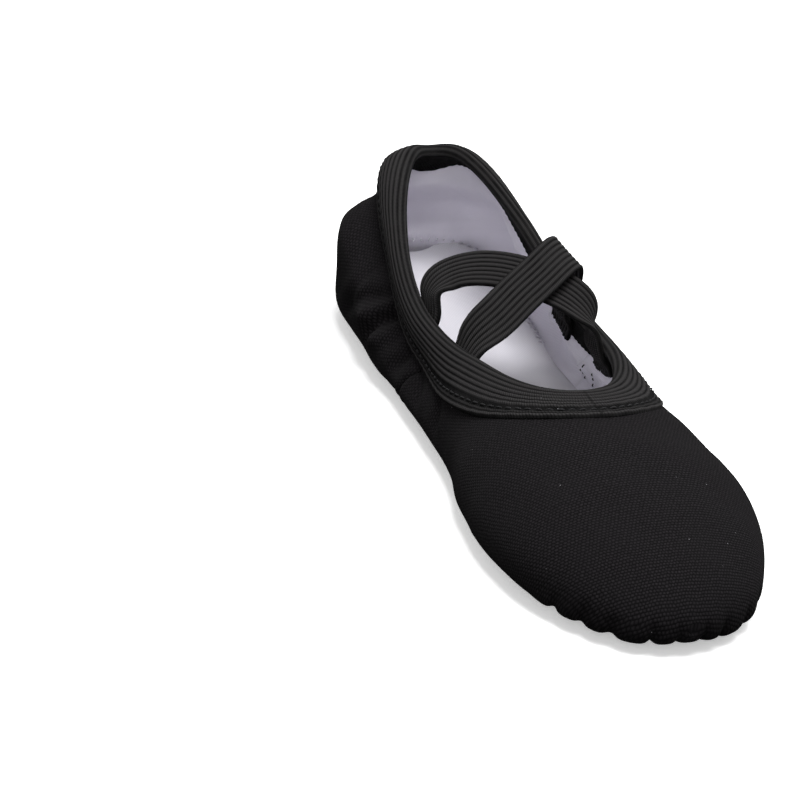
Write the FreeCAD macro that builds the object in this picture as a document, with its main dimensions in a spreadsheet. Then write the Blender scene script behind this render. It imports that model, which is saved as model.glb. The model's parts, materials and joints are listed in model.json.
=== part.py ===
import FreeCAD, Part
import math
import os

import Sketcher
from FreeCAD import Vector

# Split-sole canvas ballet slipper, in millimetres.
# Origin under the middle of the slipper at floor level, +X to the toe, +Y to the wearer's left, +Z up.
# Stations along the slipper are counted from the back of the heel and shifted by half the length.

doc = FreeCAD.newDocument("ballet_slipper")

DIMENSIONS = [
    ("slipper_length", 222.0, "heel back to toe tip"),
    ("ball_half_width", 39.0, "half width at the ball of the foot"),
    ("arch_half_width", 30.5, "half width at the arch"),
    ("heel_half_width", 30.0, "half width at the heel"),
    ("heel_height", 52.3, "top of the heel back above the floor"),
    ("waist_height", 38.5, "height of the foot form at the arch"),
    ("throat_height", 34.0, "height at the front of the opening"),
    ("toe_height", 28.5, "height where the toe cap starts to round off"),
    ("toe_round_length", 60.0, "length of the rounded toe in plan"),
    ("heel_round_length", 32.0, "length of the rounded heel in plan"),
    ("opening_back", 11.5, "station of the back of the opening"),
    ("opening_throat", 138.0, "station of the front of the opening"),
    ("opening_half_width", 23.3, "half width of the opening at its middle"),
    ("opening_taper", 0.5, "how much wider the opening is at the throat"),
    ("canvas_thickness", 1.0, "upper canvas"),
    ("lining_thickness", 0.5, "lining cloth"),
    ("layer_gap", 0.08, "gap between layers of cloth"),
    ("body_gap", 0.3, "gap between pieces that move apart"),
    ("seam_sole_station", 81.0, "side seam where it meets the sole"),
    ("seam_top_station", 95.0, "side seam where it meets the topline"),
    ("seam_top_height", 31.0, "height at which the seam meets the topline"),
    ("flex_station", 74.0, "arch fold line"),
    ("binding_outside", 12.0, "binding width outside the opening"),
    ("binding_inside", 8.0, "binding width inside the opening"),
    ("elastic_thickness", 1.0, "ribbed elastic"),
    ("strap_width", 12.7, "half inch strap elastic"),
    ("strap_thickness", 1.1, "strap elastic"),
    ("strap_front_station", 102.5, "front strap ends"),
    ("strap_rear_station", 76.5, "rear strap ends"),
    ("strap_tab", 8.5, "length of strap sewn inside the wall"),
    ("strap_tilt", 0.55, "how steeply the toe edge of an arched strap tips down"),
    ("patch_thickness", 1.4, "suede sole patches"),
    ("groove_depth", 0.6, "stitch groove in a sole patch"),
    ("groove_width", 1.0, "stitch groove in a sole patch"),
    ("outer_row_inset", 3.0, "outer stitch row from the patch edge"),
    ("inner_row_inset", 7.0, "inner stitch row from the patch edge"),
    ("fore_front_centre", 163.0, "station of the front arc of the forefoot patch"),
    ("fore_front_arc", 28.0, "radius of that arc"),
    ("fore_rear_centre", 141.0, "station of the rear arc of the forefoot patch"),
    ("fore_rear_arc", 20.0, "radius of that arc"),
    ("fore_side_arc", 60.0, "radius of its sides"),
    ("heel_front_centre", 40.0, "station of the front arc of the heel patch"),
    ("heel_front_arc", 12.0, "radius of that arc"),
    ("heel_rear_centre", 26.0, "station of the rear arc of the heel patch"),
    ("heel_rear_arc", 19.0, "radius of that arc"),
    ("heel_side_arc", 45.0, "radius of its sides"),
    ("pad_thickness", 1.8, "foam pads under the insole"),
    ("insole_thickness", 0.8, "insole sock"),
    ("stitch_length", 2.1, "one visible stitch"),
    ("stitch_pitch", 3.0, "stitch spacing"),
    ("thread_radius", 0.22, "sewing thread"),
]

sheet = doc.addObject("Spreadsheet::Sheet", "Dimensions")
for row, (alias, value, note) in enumerate(DIMENSIONS, start=1):
    sheet.set(f"A{row}", note)
    sheet.set(f"B{row}", str(value))
    sheet.setAlias(f"B{row}", alias)
doc.recompute()


def dim(alias):
    """A driving dimension, read from the sheet."""
    return float(sheet.get(alias))


LENGTH = dim("slipper_length")
SHIFT = Vector(-LENGTH / 2, 0, 0)
SOLE_LEVEL = dim("patch_thickness") + dim("body_gap")
CANVAS = dim("canvas_thickness")
LINING_OUTER = CANVAS + dim("layer_gap")
LINING_INNER = LINING_OUTER + dim("lining_thickness")
CAVITY = LINING_INNER + dim("layer_gap")


# ---- the foot form: one cross-section for each station ----

def smooth_profile(points, x):
    """Monotone cubic curve through a few (station, value) points."""
    if x <= points[0][0]:
        return points[0][1]
    if x >= points[-1][0]:
        return points[-1][1]
    steps = [(b[1] - a[1]) / (b[0] - a[0]) for a, b in zip(points, points[1:])]
    slopes = [steps[0]]
    for before, after in zip(steps, steps[1:]):
        slopes.append(2 * before * after / (before + after) if before * after > 0 else 0.0)
    slopes.append(steps[-1])
    k = next(i for i in range(len(steps)) if x <= points[i + 1][0])
    span = points[k + 1][0] - points[k][0]
    u = (x - points[k][0]) / span
    start, end = points[k][1], points[k + 1][1]
    return ((1 + 2 * u) * (1 - u) ** 2 * start + u * (1 - u) ** 2 * span * slopes[k]
            + u * u * (3 - 2 * u) * end + u * u * (u - 1) * span * slopes[k + 1])


def end_rounding(distance, length, near_power, far_power):
    """1 along the slipper, falling to 0 at its end over the given length."""
    if distance >= length:
        return 1.0
    return (1 - (1 - max(distance, 0.0) / length) ** near_power) ** (1 / far_power)


def half_width(x):
    toe_start = LENGTH - dim("toe_round_length")
    middle = smooth_profile([
        (dim("heel_round_length"), dim("heel_half_width")),
        (70.0, dim("heel_half_width")),
        (104.0, dim("arch_half_width")),
        (131.0, 0.67 * dim("arch_half_width") + 0.33 * dim("ball_half_width")),
        (147.0, 0.25 * dim("arch_half_width") + 0.75 * dim("ball_half_width")),
        (toe_start, dim("ball_half_width")),
    ], x)
    return (middle * end_rounding(LENGTH - x, dim("toe_round_length"), 2.25, 2.05)
            * end_rounding(x, dim("heel_round_length"), 2.3, 2.1))


def widest_height(x):
    """Height above the floor at which the section is widest."""
    return smooth_profile([(0, 17), (20, 15), (60, 12.5), (110, 11.5), (160, 11), (200, 10), (LENGTH, 9)], x)


def crest_height(x):
    """Height of the middle of the section."""
    crest = smooth_profile([
        (0, dim("heel_height") + 3.5),
        (dim("opening_back"), dim("heel_height") + 3.5),
        (45, dim("heel_height") - 3.5),
        (82, dim("waist_height")),
        (110, dim("waist_height") - 0.5),
        (dim("opening_throat"), dim("throat_height")),
        (165, dim("throat_height") - 0.3),
        (190, dim("toe_height")),
        (LENGTH, dim("toe_height") - 8.0),
    ], x)
    rounding = end_rounding(LENGTH - x, 32.0, 2.2, 2.0) * end_rounding(x, 22.0, 2.6, 2.0)
    return widest_height(x) + (crest - widest_height(x)) * rounding


def section_powers(x, upper):
    """Exponents of the superellipse that makes the upper or the lower half of a section."""
    if not upper:
        return 4.4, 3.6
    across = smooth_profile([(0, 2.3), (40, 2.6), (100, 2.6), (140, 2.2), (175, 2.1)], x)
    upright = smooth_profile([(0, 2.0), (40, 2.2), (100, 2.2), (140, 2.0)], x)
    return across, upright


def section_point(x, angle, inset):
    """Point of the section at a station; inset shrinks the whole form evenly."""
    stretched = (x - inset) * LENGTH / (LENGTH - 2 * inset)
    upper = math.sin(angle) >= 0
    across, upright = section_powers(stretched, upper)
    middle = widest_height(stretched)
    top = max(crest_height(stretched) - inset, middle + 0.2)
    bottom = SOLE_LEVEL + inset + (middle - SOLE_LEVEL) * 0.85 * (1 - nose_rounding(stretched))
    reach = top - middle if upper else bottom - middle
    width = max(half_width(stretched) - inset, 0.4)
    y = math.copysign(width * abs(math.cos(angle)) ** (2 / across), math.cos(angle))
    return Vector(x, y, middle + reach * abs(math.sin(angle)) ** (2 / upright))


def nose_rounding(x):
    """How far the underside has come down to the floor: 0 at both ends, 1 along the sole."""
    return end_rounding(LENGTH - x, 9.0, 2.0, 2.0) * end_rounding(x, 9.0, 2.0, 2.0)


def stations(inset):
    """Loft stations, close together where the heel and the toe round off."""
    first, last = inset + 0.25, LENGTH - inset - 0.25
    heel = [first + 16 * (1 - math.cos(k * math.pi / 12)) for k in range(6)]
    middle = [first + 16 + step for step in range(8, 146, 14)]
    toe = [last - 44 * (1 - math.cos(k * math.pi / 18)) for k in range(8, -1, -1)]
    return heel + middle + toe


def foot_form(inset):
    """Closed solid of the foot form, shrunk evenly by the inset."""
    wires = []
    for x in stations(inset):
        points = [section_point(x, math.radians(a), inset) for a in range(0, 360, 10)]
        curve = Part.BSplineCurve()
        curve.interpolate(points, PeriodicFlag=True)
        wires.append(Part.Wire(curve.toShape()))
    return Part.makeLoft(wires, True, False)




# ---- the opening and its edge ----

OPENING_POWER = 2.3
OPENING_MIDDLE = (dim("opening_back") + dim("opening_throat")) / 2
OPENING_REACH = (dim("opening_throat") - dim("opening_back")) / 2


def opening_half(x):
    """Half width of the opening in plan at a station."""
    along = (x - OPENING_MIDDLE) / OPENING_REACH
    side = dim("opening_half_width") * (1 + dim("opening_taper") * along / 2)
    return side * max(1 - abs(along) ** OPENING_POWER, 0.0) ** (1 / OPENING_POWER)


def opening_plan(turn):
    """Point on the rim of the opening in plan; turn runs from 0 to 1, anticlockwise from the throat."""
    angle = 2 * math.pi * turn
    x = OPENING_MIDDLE + OPENING_REACH * math.copysign(abs(math.cos(angle)) ** (2 / OPENING_POWER), math.cos(angle))
    along = (x - OPENING_MIDDLE) / OPENING_REACH
    side = dim("opening_half_width") * (1 + dim("opening_taper") * along / 2)
    return x, side * math.copysign(abs(math.sin(angle)) ** (2 / OPENING_POWER), math.sin(angle))


def form_value(point):
    """Below 0 inside the foot form, 0 on its surface and above 0 outside."""
    middle = widest_height(point.x)
    upper = point.z >= middle
    across, upright = section_powers(point.x, upper)
    reach = crest_height(point.x) - middle if upper else middle - SOLE_LEVEL
    return (abs(point.y) / half_width(point.x)) ** across + (abs(point.z - middle) / reach) ** upright - 1


def form_gradient(point, step=0.05):
    axes = (Vector(step, 0, 0), Vector(0, step, 0), Vector(0, 0, step))
    slope = [(form_value(point + axis) - form_value(point - axis)) / (2 * step) for axis in axes]
    return Vector(*slope)


def settle(point):
    """Nearest point of the form's surface, by Newton steps."""
    for _ in range(6):
        gradient = form_gradient(point)
        point = point - gradient * (form_value(point) / gradient.dot(gradient))
    return point


def top_height(x, y):
    middle = widest_height(x)
    across, upright = section_powers(x, True)
    share = max(1 - (abs(y) / half_width(x)) ** across, 0.0)
    return middle + (crest_height(x) - middle) * share ** (1 / upright)


class RimStation:
    """A place on the rim of the opening, with ways to move down the wall and away from it."""

    def __init__(self, x, y, along):
        self.rim = Vector(x, y, top_height(x, y))
        self.along = along

    def wall(self, down, out):
        """Point down the wall from the rim by one distance and off its outer face by another."""
        point = self.rim
        normal = form_gradient(point).normalize()
        steps = max(int(math.ceil(abs(down) / 1.5)), 1)
        for _ in range(steps if down > 0 else 0):
            away = self.along.cross(normal).normalize()
            point = settle(point + away * (down / steps))
            normal = form_gradient(point).normalize()
        if down < 0:
            point = point + self.along.cross(normal).normalize() * down
        return point + normal * out


def rim_at_turn(turn):
    """Rim station at a turn around the opening."""
    ends = []
    for step in (-0.002, 0.002):
        x, y = opening_plan((turn + step) % 1.0)
        ends.append(Vector(x, y, top_height(x, y)))
    x, y = opening_plan(turn)
    return RimStation(x, y, (ends[1] - ends[0]).normalize())


def rim_at_station(x, side):
    """Rim station at a distance from the heel, on the left (side 1) or the right (side -1)."""
    step = 0.5
    ends = [Vector(s, side * opening_half(s), top_height(s, opening_half(s))) for s in (x - step, x + step)]
    return RimStation(x, side * opening_half(x), (ends[1] - ends[0]).normalize() * -side)


def smooth_wire(points, closed=False):
    curve = Part.BSplineCurve()
    curve.interpolate(points, PeriodicFlag=closed)
    return Part.Wire(curve.toShape())


SUB_PARTS = []


def place(obj, label):
    """Name a finished sub-part and put it in the slipper's own frame."""
    obj.Label = label
    obj.Placement = FreeCAD.Placement(SHIFT, FreeCAD.Rotation())
    SUB_PARTS.append(obj)
    return obj


def place_shape(shape, label):
    obj = doc.addObject("Part::Feature", label)
    obj.Shape = shape
    return place(obj, label)


# ---- canvas and lining of the upper ----

def opening_prism():
    rim = [Vector(*opening_plan(k / 48), 21.0) for k in range(48)]
    return Part.Face(smooth_wire(rim, True)).extrude(Vector(0, 0, 60))


def seam_side(front):
    """Block that holds everything in front of, or behind, the slanted side seam."""
    slope = (dim("seam_top_station") - dim("seam_sole_station")) / dim("seam_top_height")
    gap = dim("body_gap") / 2 * (1 if front else -1)
    far = LENGTH + 20 if front else -20
    corners = [
        Vector(dim("seam_sole_station") - 20 * slope + gap, -60, -20),
        Vector(dim("seam_sole_station") + 80 * slope + gap, -60, 80),
        Vector(far, -60, 80),
        Vector(far, -60, -20),
    ]
    return Part.Face(Part.makePolygon(corners + corners[:1])).extrude(Vector(0, 120, 0))


opening = opening_prism()
layers = {
    "canvas": foot_form(0.0).cut(foot_form(CANVAS)).cut(opening),
    "lining": foot_form(LINING_OUTER).cut(foot_form(LINING_INNER)).cut(opening),
}
for cloth, layer in layers.items():
    place_shape(layer.common(seam_side(True)), f"vamp_{cloth}")
    place_shape(layer.common(seam_side(False)), f"quarter_{cloth}")


# ---- ribbed elastic that binds the opening ----

def binding_section(turn):
    """Closed section of the binding: outside leg, fold over the edge, inside leg."""
    rim = rim_at_turn(turn)
    thick = dim("elastic_thickness")
    outside = dim("body_gap")
    inside = -LINING_INNER - dim("body_gap") - 0.2
    width_out, width_in = dim("binding_outside"), dim("binding_inside")
    points = [rim.wall(width_out * share, outside + thick) for share in (1.0, 0.75, 0.5, 0.25, 0.0)]
    points.append(rim.wall(-1.6, (outside + inside) / 2))
    points += [rim.wall(width_in * share, inside - thick) for share in (0.0, 0.35, 0.7, 1.0)]
    points += [rim.wall(width_in * share, inside) for share in (1.0, 0.7, 0.35, 0.0)]
    points.append(rim.wall(-0.6, (outside + inside) / 2))
    points += [rim.wall(width_out * share, outside) for share in (0.0, 0.25, 0.5, 0.75, 1.0)]
    return Part.makePolygon(points + points[:1])


BINDING_STEPS = 48
binding_rings = [binding_section(k / BINDING_STEPS) for k in range(BINDING_STEPS)]
binding = Part.makeLoft(binding_rings + binding_rings[:1], True, True)
place_shape(binding, "topline_binding")


# ---- crossed elastic straps ----

def strap_section(centre, along, across):
    """Flat rectangle of strap elastic, square to its run."""
    along = along.normalize()
    across = (across - along * across.dot(along)).normalize()
    up = along.cross(across)
    half_wide, half_thick = dim("strap_width") / 2, dim("strap_thickness") / 2
    corners = [centre + across * (u * half_wide) + up * (v * half_thick)
               for u, v in ((-1, -1), (-1, 1), (1, 1), (1, -1))]
    return Part.makePolygon(corners + corners[:1])


STRAP_DEPTH = -(LINING_INNER + 3 * dim("body_gap") + 0.4 + dim("elastic_thickness") + dim("strap_thickness") / 2)


def strap(right_station, left_station, rise):
    """Strap from the right wall to the left wall; rise holds (share of the way, lean, height) points."""
    right, left = rim_at_station(right_station, -1), rim_at_station(left_station, 1)
    tab = dim("strap_tab")
    start, end = right.wall(0, STRAP_DEPTH), left.wall(0, STRAP_DEPTH)
    path = [right.wall(tab, STRAP_DEPTH), right.wall(tab / 2, STRAP_DEPTH), start]
    path += [start + (end - start) * share + Vector(lean, 0, height) for share, lean, height in rise]
    path += [end, left.wall(tab / 2, STRAP_DEPTH), left.wall(tab, STRAP_DEPTH)]
    curve = Part.BSplineCurve()
    curve.interpolate(path)
    chord = end - start
    drop = dim("strap_tilt") * math.hypot(chord.x, chord.y)
    across_middle = Vector(chord.y, -chord.x, -drop).normalize()
    sections = []
    count = 28
    for k in range(count + 1):
        knot = curve.FirstParameter + (curve.LastParameter - curve.FirstParameter) * k / count
        mix = min(max((k / count - 0.2) / 0.3, 0), 1) * min(max((0.8 - k / count) / 0.3, 0), 1)
        across = Vector(1, 0, 0) * (1 - mix) + across_middle * mix
        sections.append(strap_section(curve.value(knot), Vector(*curve.tangent(knot)[0]), across))
    return Part.makeLoft(sections, True, True)


over = strap(dim("strap_front_station"), dim("strap_rear_station"),
             [(0.07, 0.5, 6.5), (0.23, 2.5, 11.8), (0.43, 4.5, 16.2), (0.63, 6.0, 20.0), (0.84, 6.0, 23.0),
              (0.96, 2.5, 16.0)])
under = strap(dim("strap_rear_station"), dim("strap_front_station"),
              [(0.04, -3.5, 6.0), (0.18, -8.5, 11.5), (0.36, -9.0, 15.0), (0.55, -8.0, 16.0), (0.72, -5.0, 15.5),
               (0.86, -2.0, 13.5), (0.96, -1.0, 8.0)])
place_shape(over, "instep_strap_over")
place_shape(under, "instep_strap_under")


# ---- suede sole patches and foam pads ----

def egg_arcs(name, inset):
    """Four tangent arcs of an egg outline: (centre x, centre y, radius, start angle, end angle)."""
    front_x, rear_x = dim(f"{name}_front_centre"), dim(f"{name}_rear_centre")
    front, rear = dim(f"{name}_front_arc"), dim(f"{name}_rear_arc")
    side = dim(f"{name}_side_arc")
    spread = front_x - rear_x
    along = ((side - rear) ** 2 - (side - front) ** 2 + spread ** 2) / (2 * spread)
    below = math.sqrt((side - rear) ** 2 - along ** 2)
    side_x = rear_x + along
    at_front = math.atan2(below, front_x - side_x)
    at_rear = math.atan2(below, rear_x - side_x)
    return [
        (front_x, 0.0, front - inset, -at_front, at_front),
        (side_x, -below, side - inset, at_front, at_rear),
        (rear_x, 0.0, rear - inset, at_rear, 2 * math.pi - at_rear),
        (side_x, below, side - inset, -at_rear, -at_front),
    ]


def egg_points(name, inset, spacing=0.5):
    """Points along the egg outline, evenly spaced, starting at its front."""
    points = []
    for centre_x, centre_y, radius, start, finish in egg_arcs(name, inset):
        count = int(round(radius * (finish - start) / spacing))
        for k in range(count):
            angle = start + (finish - start) * k / count
            points.append(Vector(centre_x + radius * math.cos(angle), centre_y + radius * math.sin(angle), 0))
    return points


def draw_egg(sketch, name, inset, inset_text):
    """Add one egg outline to a sketch, with tangent arcs whose sizes are bound to the sheet."""
    first = sketch.GeometryCount
    for centre_x, centre_y, radius, start, finish in egg_arcs(name, inset):
        circle = Part.Circle(Vector(centre_x, centre_y, 0), Vector(0, 0, 1), radius)
        sketch.addGeometry(Part.ArcOfCircle(circle, start, finish), False)
    front, left, rear, right = range(first, first + 4)
    for arc, following in ((front, left), (left, rear), (rear, right), (right, front)):
        sketch.addConstraint(Sketcher.Constraint("Tangent", arc, 2, following, 1))
    for arc, end in ((front, "front"), (rear, "rear")):
        sketch.addConstraint(Sketcher.Constraint("PointOnObject", arc, 3, -1))
        station = dim(f"{name}_{end}_centre")
        index = sketch.addConstraint(Sketcher.Constraint("DistanceX", -1, 1, arc, 3, station))
        sketch.setExpression(f"Constraints[{index}]", f"Dimensions.{name}_{end}_centre")
    for arc, part in ((front, "front"), (left, "side"), (rear, "rear"), (right, "side")):
        radius = dim(f"{name}_{part}_arc") - inset
        index = sketch.addConstraint(Sketcher.Constraint("Radius", arc, radius))
        sketch.setExpression(f"Constraints[{index}]", f"Dimensions.{name}_{part}_arc - ({inset_text})")


def egg_sketch(body, label, name, insets, height=0.0):
    """Sketch of nested egg outlines on a body's own XY plane; insets holds (value, sheet formula) pairs."""
    sketch = body.newObject("Sketcher::SketchObject", label)
    plane = next(f for f in body.Origin.OriginFeatures if f.Role == "XY_Plane")
    sketch.AttachmentSupport = [(plane, "")]
    sketch.MapMode = "FlatFace"
    sketch.AttachmentOffset = FreeCAD.Placement(Vector(0, 0, height), FreeCAD.Rotation())
    for inset, inset_text in insets:
        draw_egg(sketch, name, inset, inset_text)
    return sketch


def padded_body(label, name, thickness, height=0.0):
    """Body with one egg outline, padded upwards to a thickness held in the sheet."""
    body = doc.addObject("PartDesign::Body", label)
    outline = egg_sketch(body, f"{label}_outline", name, [(0.0, "0")], height)
    pad = body.newObject("PartDesign::Pad", f"{label}_pad")
    pad.Profile = outline
    pad.setExpression("Length", f"Dimensions.{thickness}")
    outline.Visibility = False
    return body


def sole_patch(label, name):
    """Suede patch with a sunk groove for each of its two stitch rows."""
    body = padded_body(label, name, "patch_thickness")
    half = dim("groove_width") / 2
    insets = []
    for row in ("outer_row_inset", "inner_row_inset"):
        insets.append((dim(row) - half, f"Dimensions.{row} - Dimensions.groove_width / 2"))
        insets.append((dim(row) + half, f"Dimensions.{row} + Dimensions.groove_width / 2"))
    rings = egg_sketch(body, f"{label}_grooves", name, insets)
    groove = body.newObject("PartDesign::Pocket", f"{label}_stitch_grooves")
    groove.Profile = rings
    groove.Reversed = True
    groove.setExpression("Length", "Dimensions.groove_depth")
    rings.Visibility = False
    place(body, label)


FLOOR_INSIDE = SOLE_LEVEL + CAVITY + 0.25
INSOLE_LEVEL = FLOOR_INSIDE + dim("pad_thickness") + dim("layer_gap")
INSOLE_TOP = INSOLE_LEVEL + dim("insole_thickness")

inside_form = doc.addObject("Part::Feature", "inside_form")
inside_form.Shape = foot_form(CAVITY + dim("body_gap"))


def trimmed_to_inside(label, body):
    """The part of a body that lies within the lined cavity."""
    common = doc.addObject("Part::MultiCommon", label)
    common.Shapes = [body, inside_form]
    place(common, label)


def insole_slab():
    slab = doc.addObject("Part::Box", "insole_slab")
    slab.setExpression("Length", "Dimensions.slipper_length")
    slab.setExpression("Width", "2 * Dimensions.ball_half_width")
    slab.setExpression("Height", "Dimensions.insole_thickness")
    slab.Placement.Base = Vector(0, -dim("ball_half_width"), INSOLE_LEVEL)
    return slab


sole_patch("forefoot_sole_patch", "fore")
sole_patch("heel_sole_patch", "heel")
trimmed_to_inside("forefoot_pad", padded_body("forefoot_foam", "fore", "pad_thickness", FLOOR_INSIDE))
trimmed_to_inside("heel_pad", padded_body("heel_foam", "heel", "pad_thickness", FLOOR_INSIDE))
trimmed_to_inside("insole_sock", insole_slab())


# ---- stitching: every row is one group of separate threads ----

def thread(start, finish):
    along = finish - start
    return Part.makeCylinder(dim("thread_radius"), along.Length, start, along)


def stitch_row(points, pitch_share=1.0):
    """Straight stitches along a dense run of points, one for each pitch."""
    pitch, length = dim("stitch_pitch") * pitch_share, dim("stitch_length") * pitch_share
    travelled = [0.0]
    for a, b in zip(points, points[1:]):
        travelled.append(travelled[-1] + (b - a).Length)

    def at(distance):
        k = next(i for i in range(1, len(travelled)) if travelled[i] >= distance or i == len(travelled) - 1)
        share = (distance - travelled[k - 1]) / (travelled[k] - travelled[k - 1])
        return points[k - 1] + (points[k] - points[k - 1]) * share

    count = int(travelled[-1] / pitch)
    starts = [(k + 0.5) * travelled[-1] / count - length / 2 for k in range(count)]
    return [thread(at(start), at(start + length)) for start in starts]


def place_stitches(rows, label):
    place_shape(Part.makeCompound([stitch for row in rows for stitch in row]), label)


def patch_row(name, inset):
    outline = egg_points(name, inset)
    lift = Vector(0, 0, dim("groove_depth") / 2)
    return stitch_row([point + lift for point in outline + outline[:1]])


for area, name in (("forefoot", "fore"), ("heel", "heel")):
    for row in ("outer", "inner"):
        place_stitches([patch_row(name, dim(f"{row}_row_inset"))], f"{area}_patch_{row}_stitching")


def run_through(points, spacing=0.5):
    """Dense run of points on a smooth curve through a few."""
    return smooth_wire(points).discretize(Distance=spacing)


THREAD_LIFT = dim("thread_radius") + dim("layer_gap")


def binding_row(down):
    lift = dim("body_gap") + dim("elastic_thickness") + THREAD_LIFT + 0.1
    return stitch_row(run_through([rim_at_turn(k / 48 % 1.0).wall(down, lift) for k in range(49)]))


place_stitches([binding_row(dim("binding_outside") - 1.2)], "binding_edge_stitching")


def wall_point(x, height, side, inset):
    """Point on the side wall at a station and a height."""
    middle = widest_height(x)
    upper = height >= middle
    across, upright = section_powers(x, upper)
    reach = crest_height(x) - inset - middle if upper else middle - SOLE_LEVEL - inset
    share = max(1 - (abs(height - middle) / reach) ** upright, 0.0)
    return Vector(x, side * (half_width(x) - inset) * share ** (1 / across), height)


def seam_row(side, ahead):
    """Stitches up the inside of one wall, ahead of the side seam."""
    points = []
    for k in range(9):
        height = INSOLE_TOP + 1.5 + k * 1.6
        share = height / dim("seam_top_height")
        x = dim("seam_sole_station") * (1 - share) + dim("seam_top_station") * share + ahead
        points.append(wall_point(x, height, side, CAVITY + THREAD_LIFT + 0.2))
    return stitch_row(run_through(points))


for side, name in ((-1, "right"), (1, "left")):
    place_stitches([seam_row(side, 1.5), seam_row(side, 7.0)], f"{name}_side_seam_stitching")


def arch_seam():
    rear = dim("heel_front_centre") + dim("heel_front_arc") + 2
    front = dim("fore_rear_centre") - dim("fore_rear_arc") - 2
    height = SOLE_LEVEL - dim("layer_gap") - dim("thread_radius") - 0.3
    return stitch_row([Vector(rear, 0, height), Vector(front, 0, height)])


place_stitches([arch_seam()], "arch_seam_stitching")


def insole_edge():
    """Overcast stitches across the edge of the insole around the heel."""
    height = INSOLE_TOP + THREAD_LIFT
    side = [wall_point(x, height, 1, CAVITY + 3.0) for x in (9.5, 10.5, 12.5, 15.5, 19.5, 25, 33, 43, 54, 64)]
    rim = [Vector(p.x, -p.y, p.z) for p in reversed(side)] + [Vector(8.3, 0, height)] + side
    row = []
    dense = run_through(rim)
    step = int(dim("stitch_pitch") / 0.5)
    for before, point, after in zip(dense[0::step], dense[1::step], dense[2::step]):
        inward = (after - before).cross(Vector(0, 0, 1)).normalize() * -1
        row.append(thread(point - inward * 0.8, point + inward * 0.8))
    return row


place_stitches([insole_edge()], "insole_edge_stitching")


def tack_rows(station, side):
    """Two rows across a strap end, on its inner face."""
    depth = STRAP_DEPTH - dim("strap_thickness") / 2 - THREAD_LIFT - 0.5
    half = dim("strap_width") / 2 - 1.5
    rows = []
    for down in (2.5, 6.5):
        ends = [rim_at_station(station + offset, side).wall(down, depth) for offset in (-half, 0, half)]
        rows.append(stitch_row(run_through(ends), 0.8))
    return rows


FRONT, REAR = dim("strap_front_station"), dim("strap_rear_station")
place_stitches(tack_rows(FRONT, -1) + tack_rows(REAR, 1), "over_strap_tacks")
place_stitches(tack_rows(REAR, -1) + tack_rows(FRONT, 1), "under_strap_tacks")


doc.recompute()
os.makedirs("parts", exist_ok=True)
for sub_part in SUB_PARTS:
    states = {"Invalid", "Error"} & set(sub_part.State)
    if states or sub_part.Shape.isNull() or not sub_part.Shape.isValid():
        raise RuntimeError(f"{sub_part.Label} is not a valid shape {states}")
    sub_part.Shape.exportStep(f"parts/{sub_part.Label}.step")
    print(sub_part.Label, len(sub_part.Shape.Solids), round(sub_part.Shape.Volume), sub_part.Shape.BoundBox)
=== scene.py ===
import json
import math

import bpy
import numpy as np
from mathutils import Matrix, Vector


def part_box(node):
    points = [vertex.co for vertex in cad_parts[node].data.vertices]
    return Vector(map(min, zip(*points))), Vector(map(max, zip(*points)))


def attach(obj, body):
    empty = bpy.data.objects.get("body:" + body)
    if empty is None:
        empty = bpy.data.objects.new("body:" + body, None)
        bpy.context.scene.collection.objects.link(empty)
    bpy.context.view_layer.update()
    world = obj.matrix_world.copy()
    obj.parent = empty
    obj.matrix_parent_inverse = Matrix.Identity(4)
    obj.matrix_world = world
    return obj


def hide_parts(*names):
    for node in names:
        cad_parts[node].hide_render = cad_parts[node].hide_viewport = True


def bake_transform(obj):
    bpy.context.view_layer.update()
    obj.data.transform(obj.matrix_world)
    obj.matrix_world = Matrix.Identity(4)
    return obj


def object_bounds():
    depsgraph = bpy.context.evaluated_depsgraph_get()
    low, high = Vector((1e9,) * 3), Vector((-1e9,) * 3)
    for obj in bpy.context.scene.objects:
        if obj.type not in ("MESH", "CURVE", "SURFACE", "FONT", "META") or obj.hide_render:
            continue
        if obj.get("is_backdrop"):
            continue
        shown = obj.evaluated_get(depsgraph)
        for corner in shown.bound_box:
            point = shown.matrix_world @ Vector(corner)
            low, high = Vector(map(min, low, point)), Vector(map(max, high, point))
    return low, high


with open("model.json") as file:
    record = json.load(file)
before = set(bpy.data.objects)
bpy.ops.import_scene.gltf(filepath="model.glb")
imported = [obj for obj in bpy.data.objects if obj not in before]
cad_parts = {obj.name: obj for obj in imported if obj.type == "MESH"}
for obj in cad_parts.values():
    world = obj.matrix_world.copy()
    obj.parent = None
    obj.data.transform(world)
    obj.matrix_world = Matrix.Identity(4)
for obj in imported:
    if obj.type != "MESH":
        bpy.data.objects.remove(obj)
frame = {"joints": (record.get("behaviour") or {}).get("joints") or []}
CAD_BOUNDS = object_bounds()

# Shapes are worked out in millimetres, with stations counted from the back of the heel,
# and turned into metres in the frame's own axes when a mesh is made.
MM = 0.001
VAMP_HIGH = np.array(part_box("vamp_canvas")[1]) / MM
QUARTER_LOW = np.array(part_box("quarter_canvas")[0]) / MM
END_TRIM = 0.25
LENGTH = VAMP_HIGH[0] - QUARTER_LOW[0] + 2 * END_TRIM
HEEL_BACK = QUARTER_LOW[0] - END_TRIM
BALL_HALF = 39.0 / 38.81 * VAMP_HIGH[1]
HEEL_HALF = 30.0
ARCH_HALF = 30.5
SOLE_LEVEL = 1.7
HEEL_HEIGHT = 52.3
WAIST_HEIGHT = 38.5
THROAT_HEIGHT = 34.0
TOE_HEIGHT = 28.5
OPENING_BACK = 11.5
OPENING_THROAT = 139.5
OPENING_HALF = 23.3
OPENING_TAPER = 0.5
OPENING_POWER = 2.05
SEAM_SOLE = 81.0
SEAM_CURVE = 0.020
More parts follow.
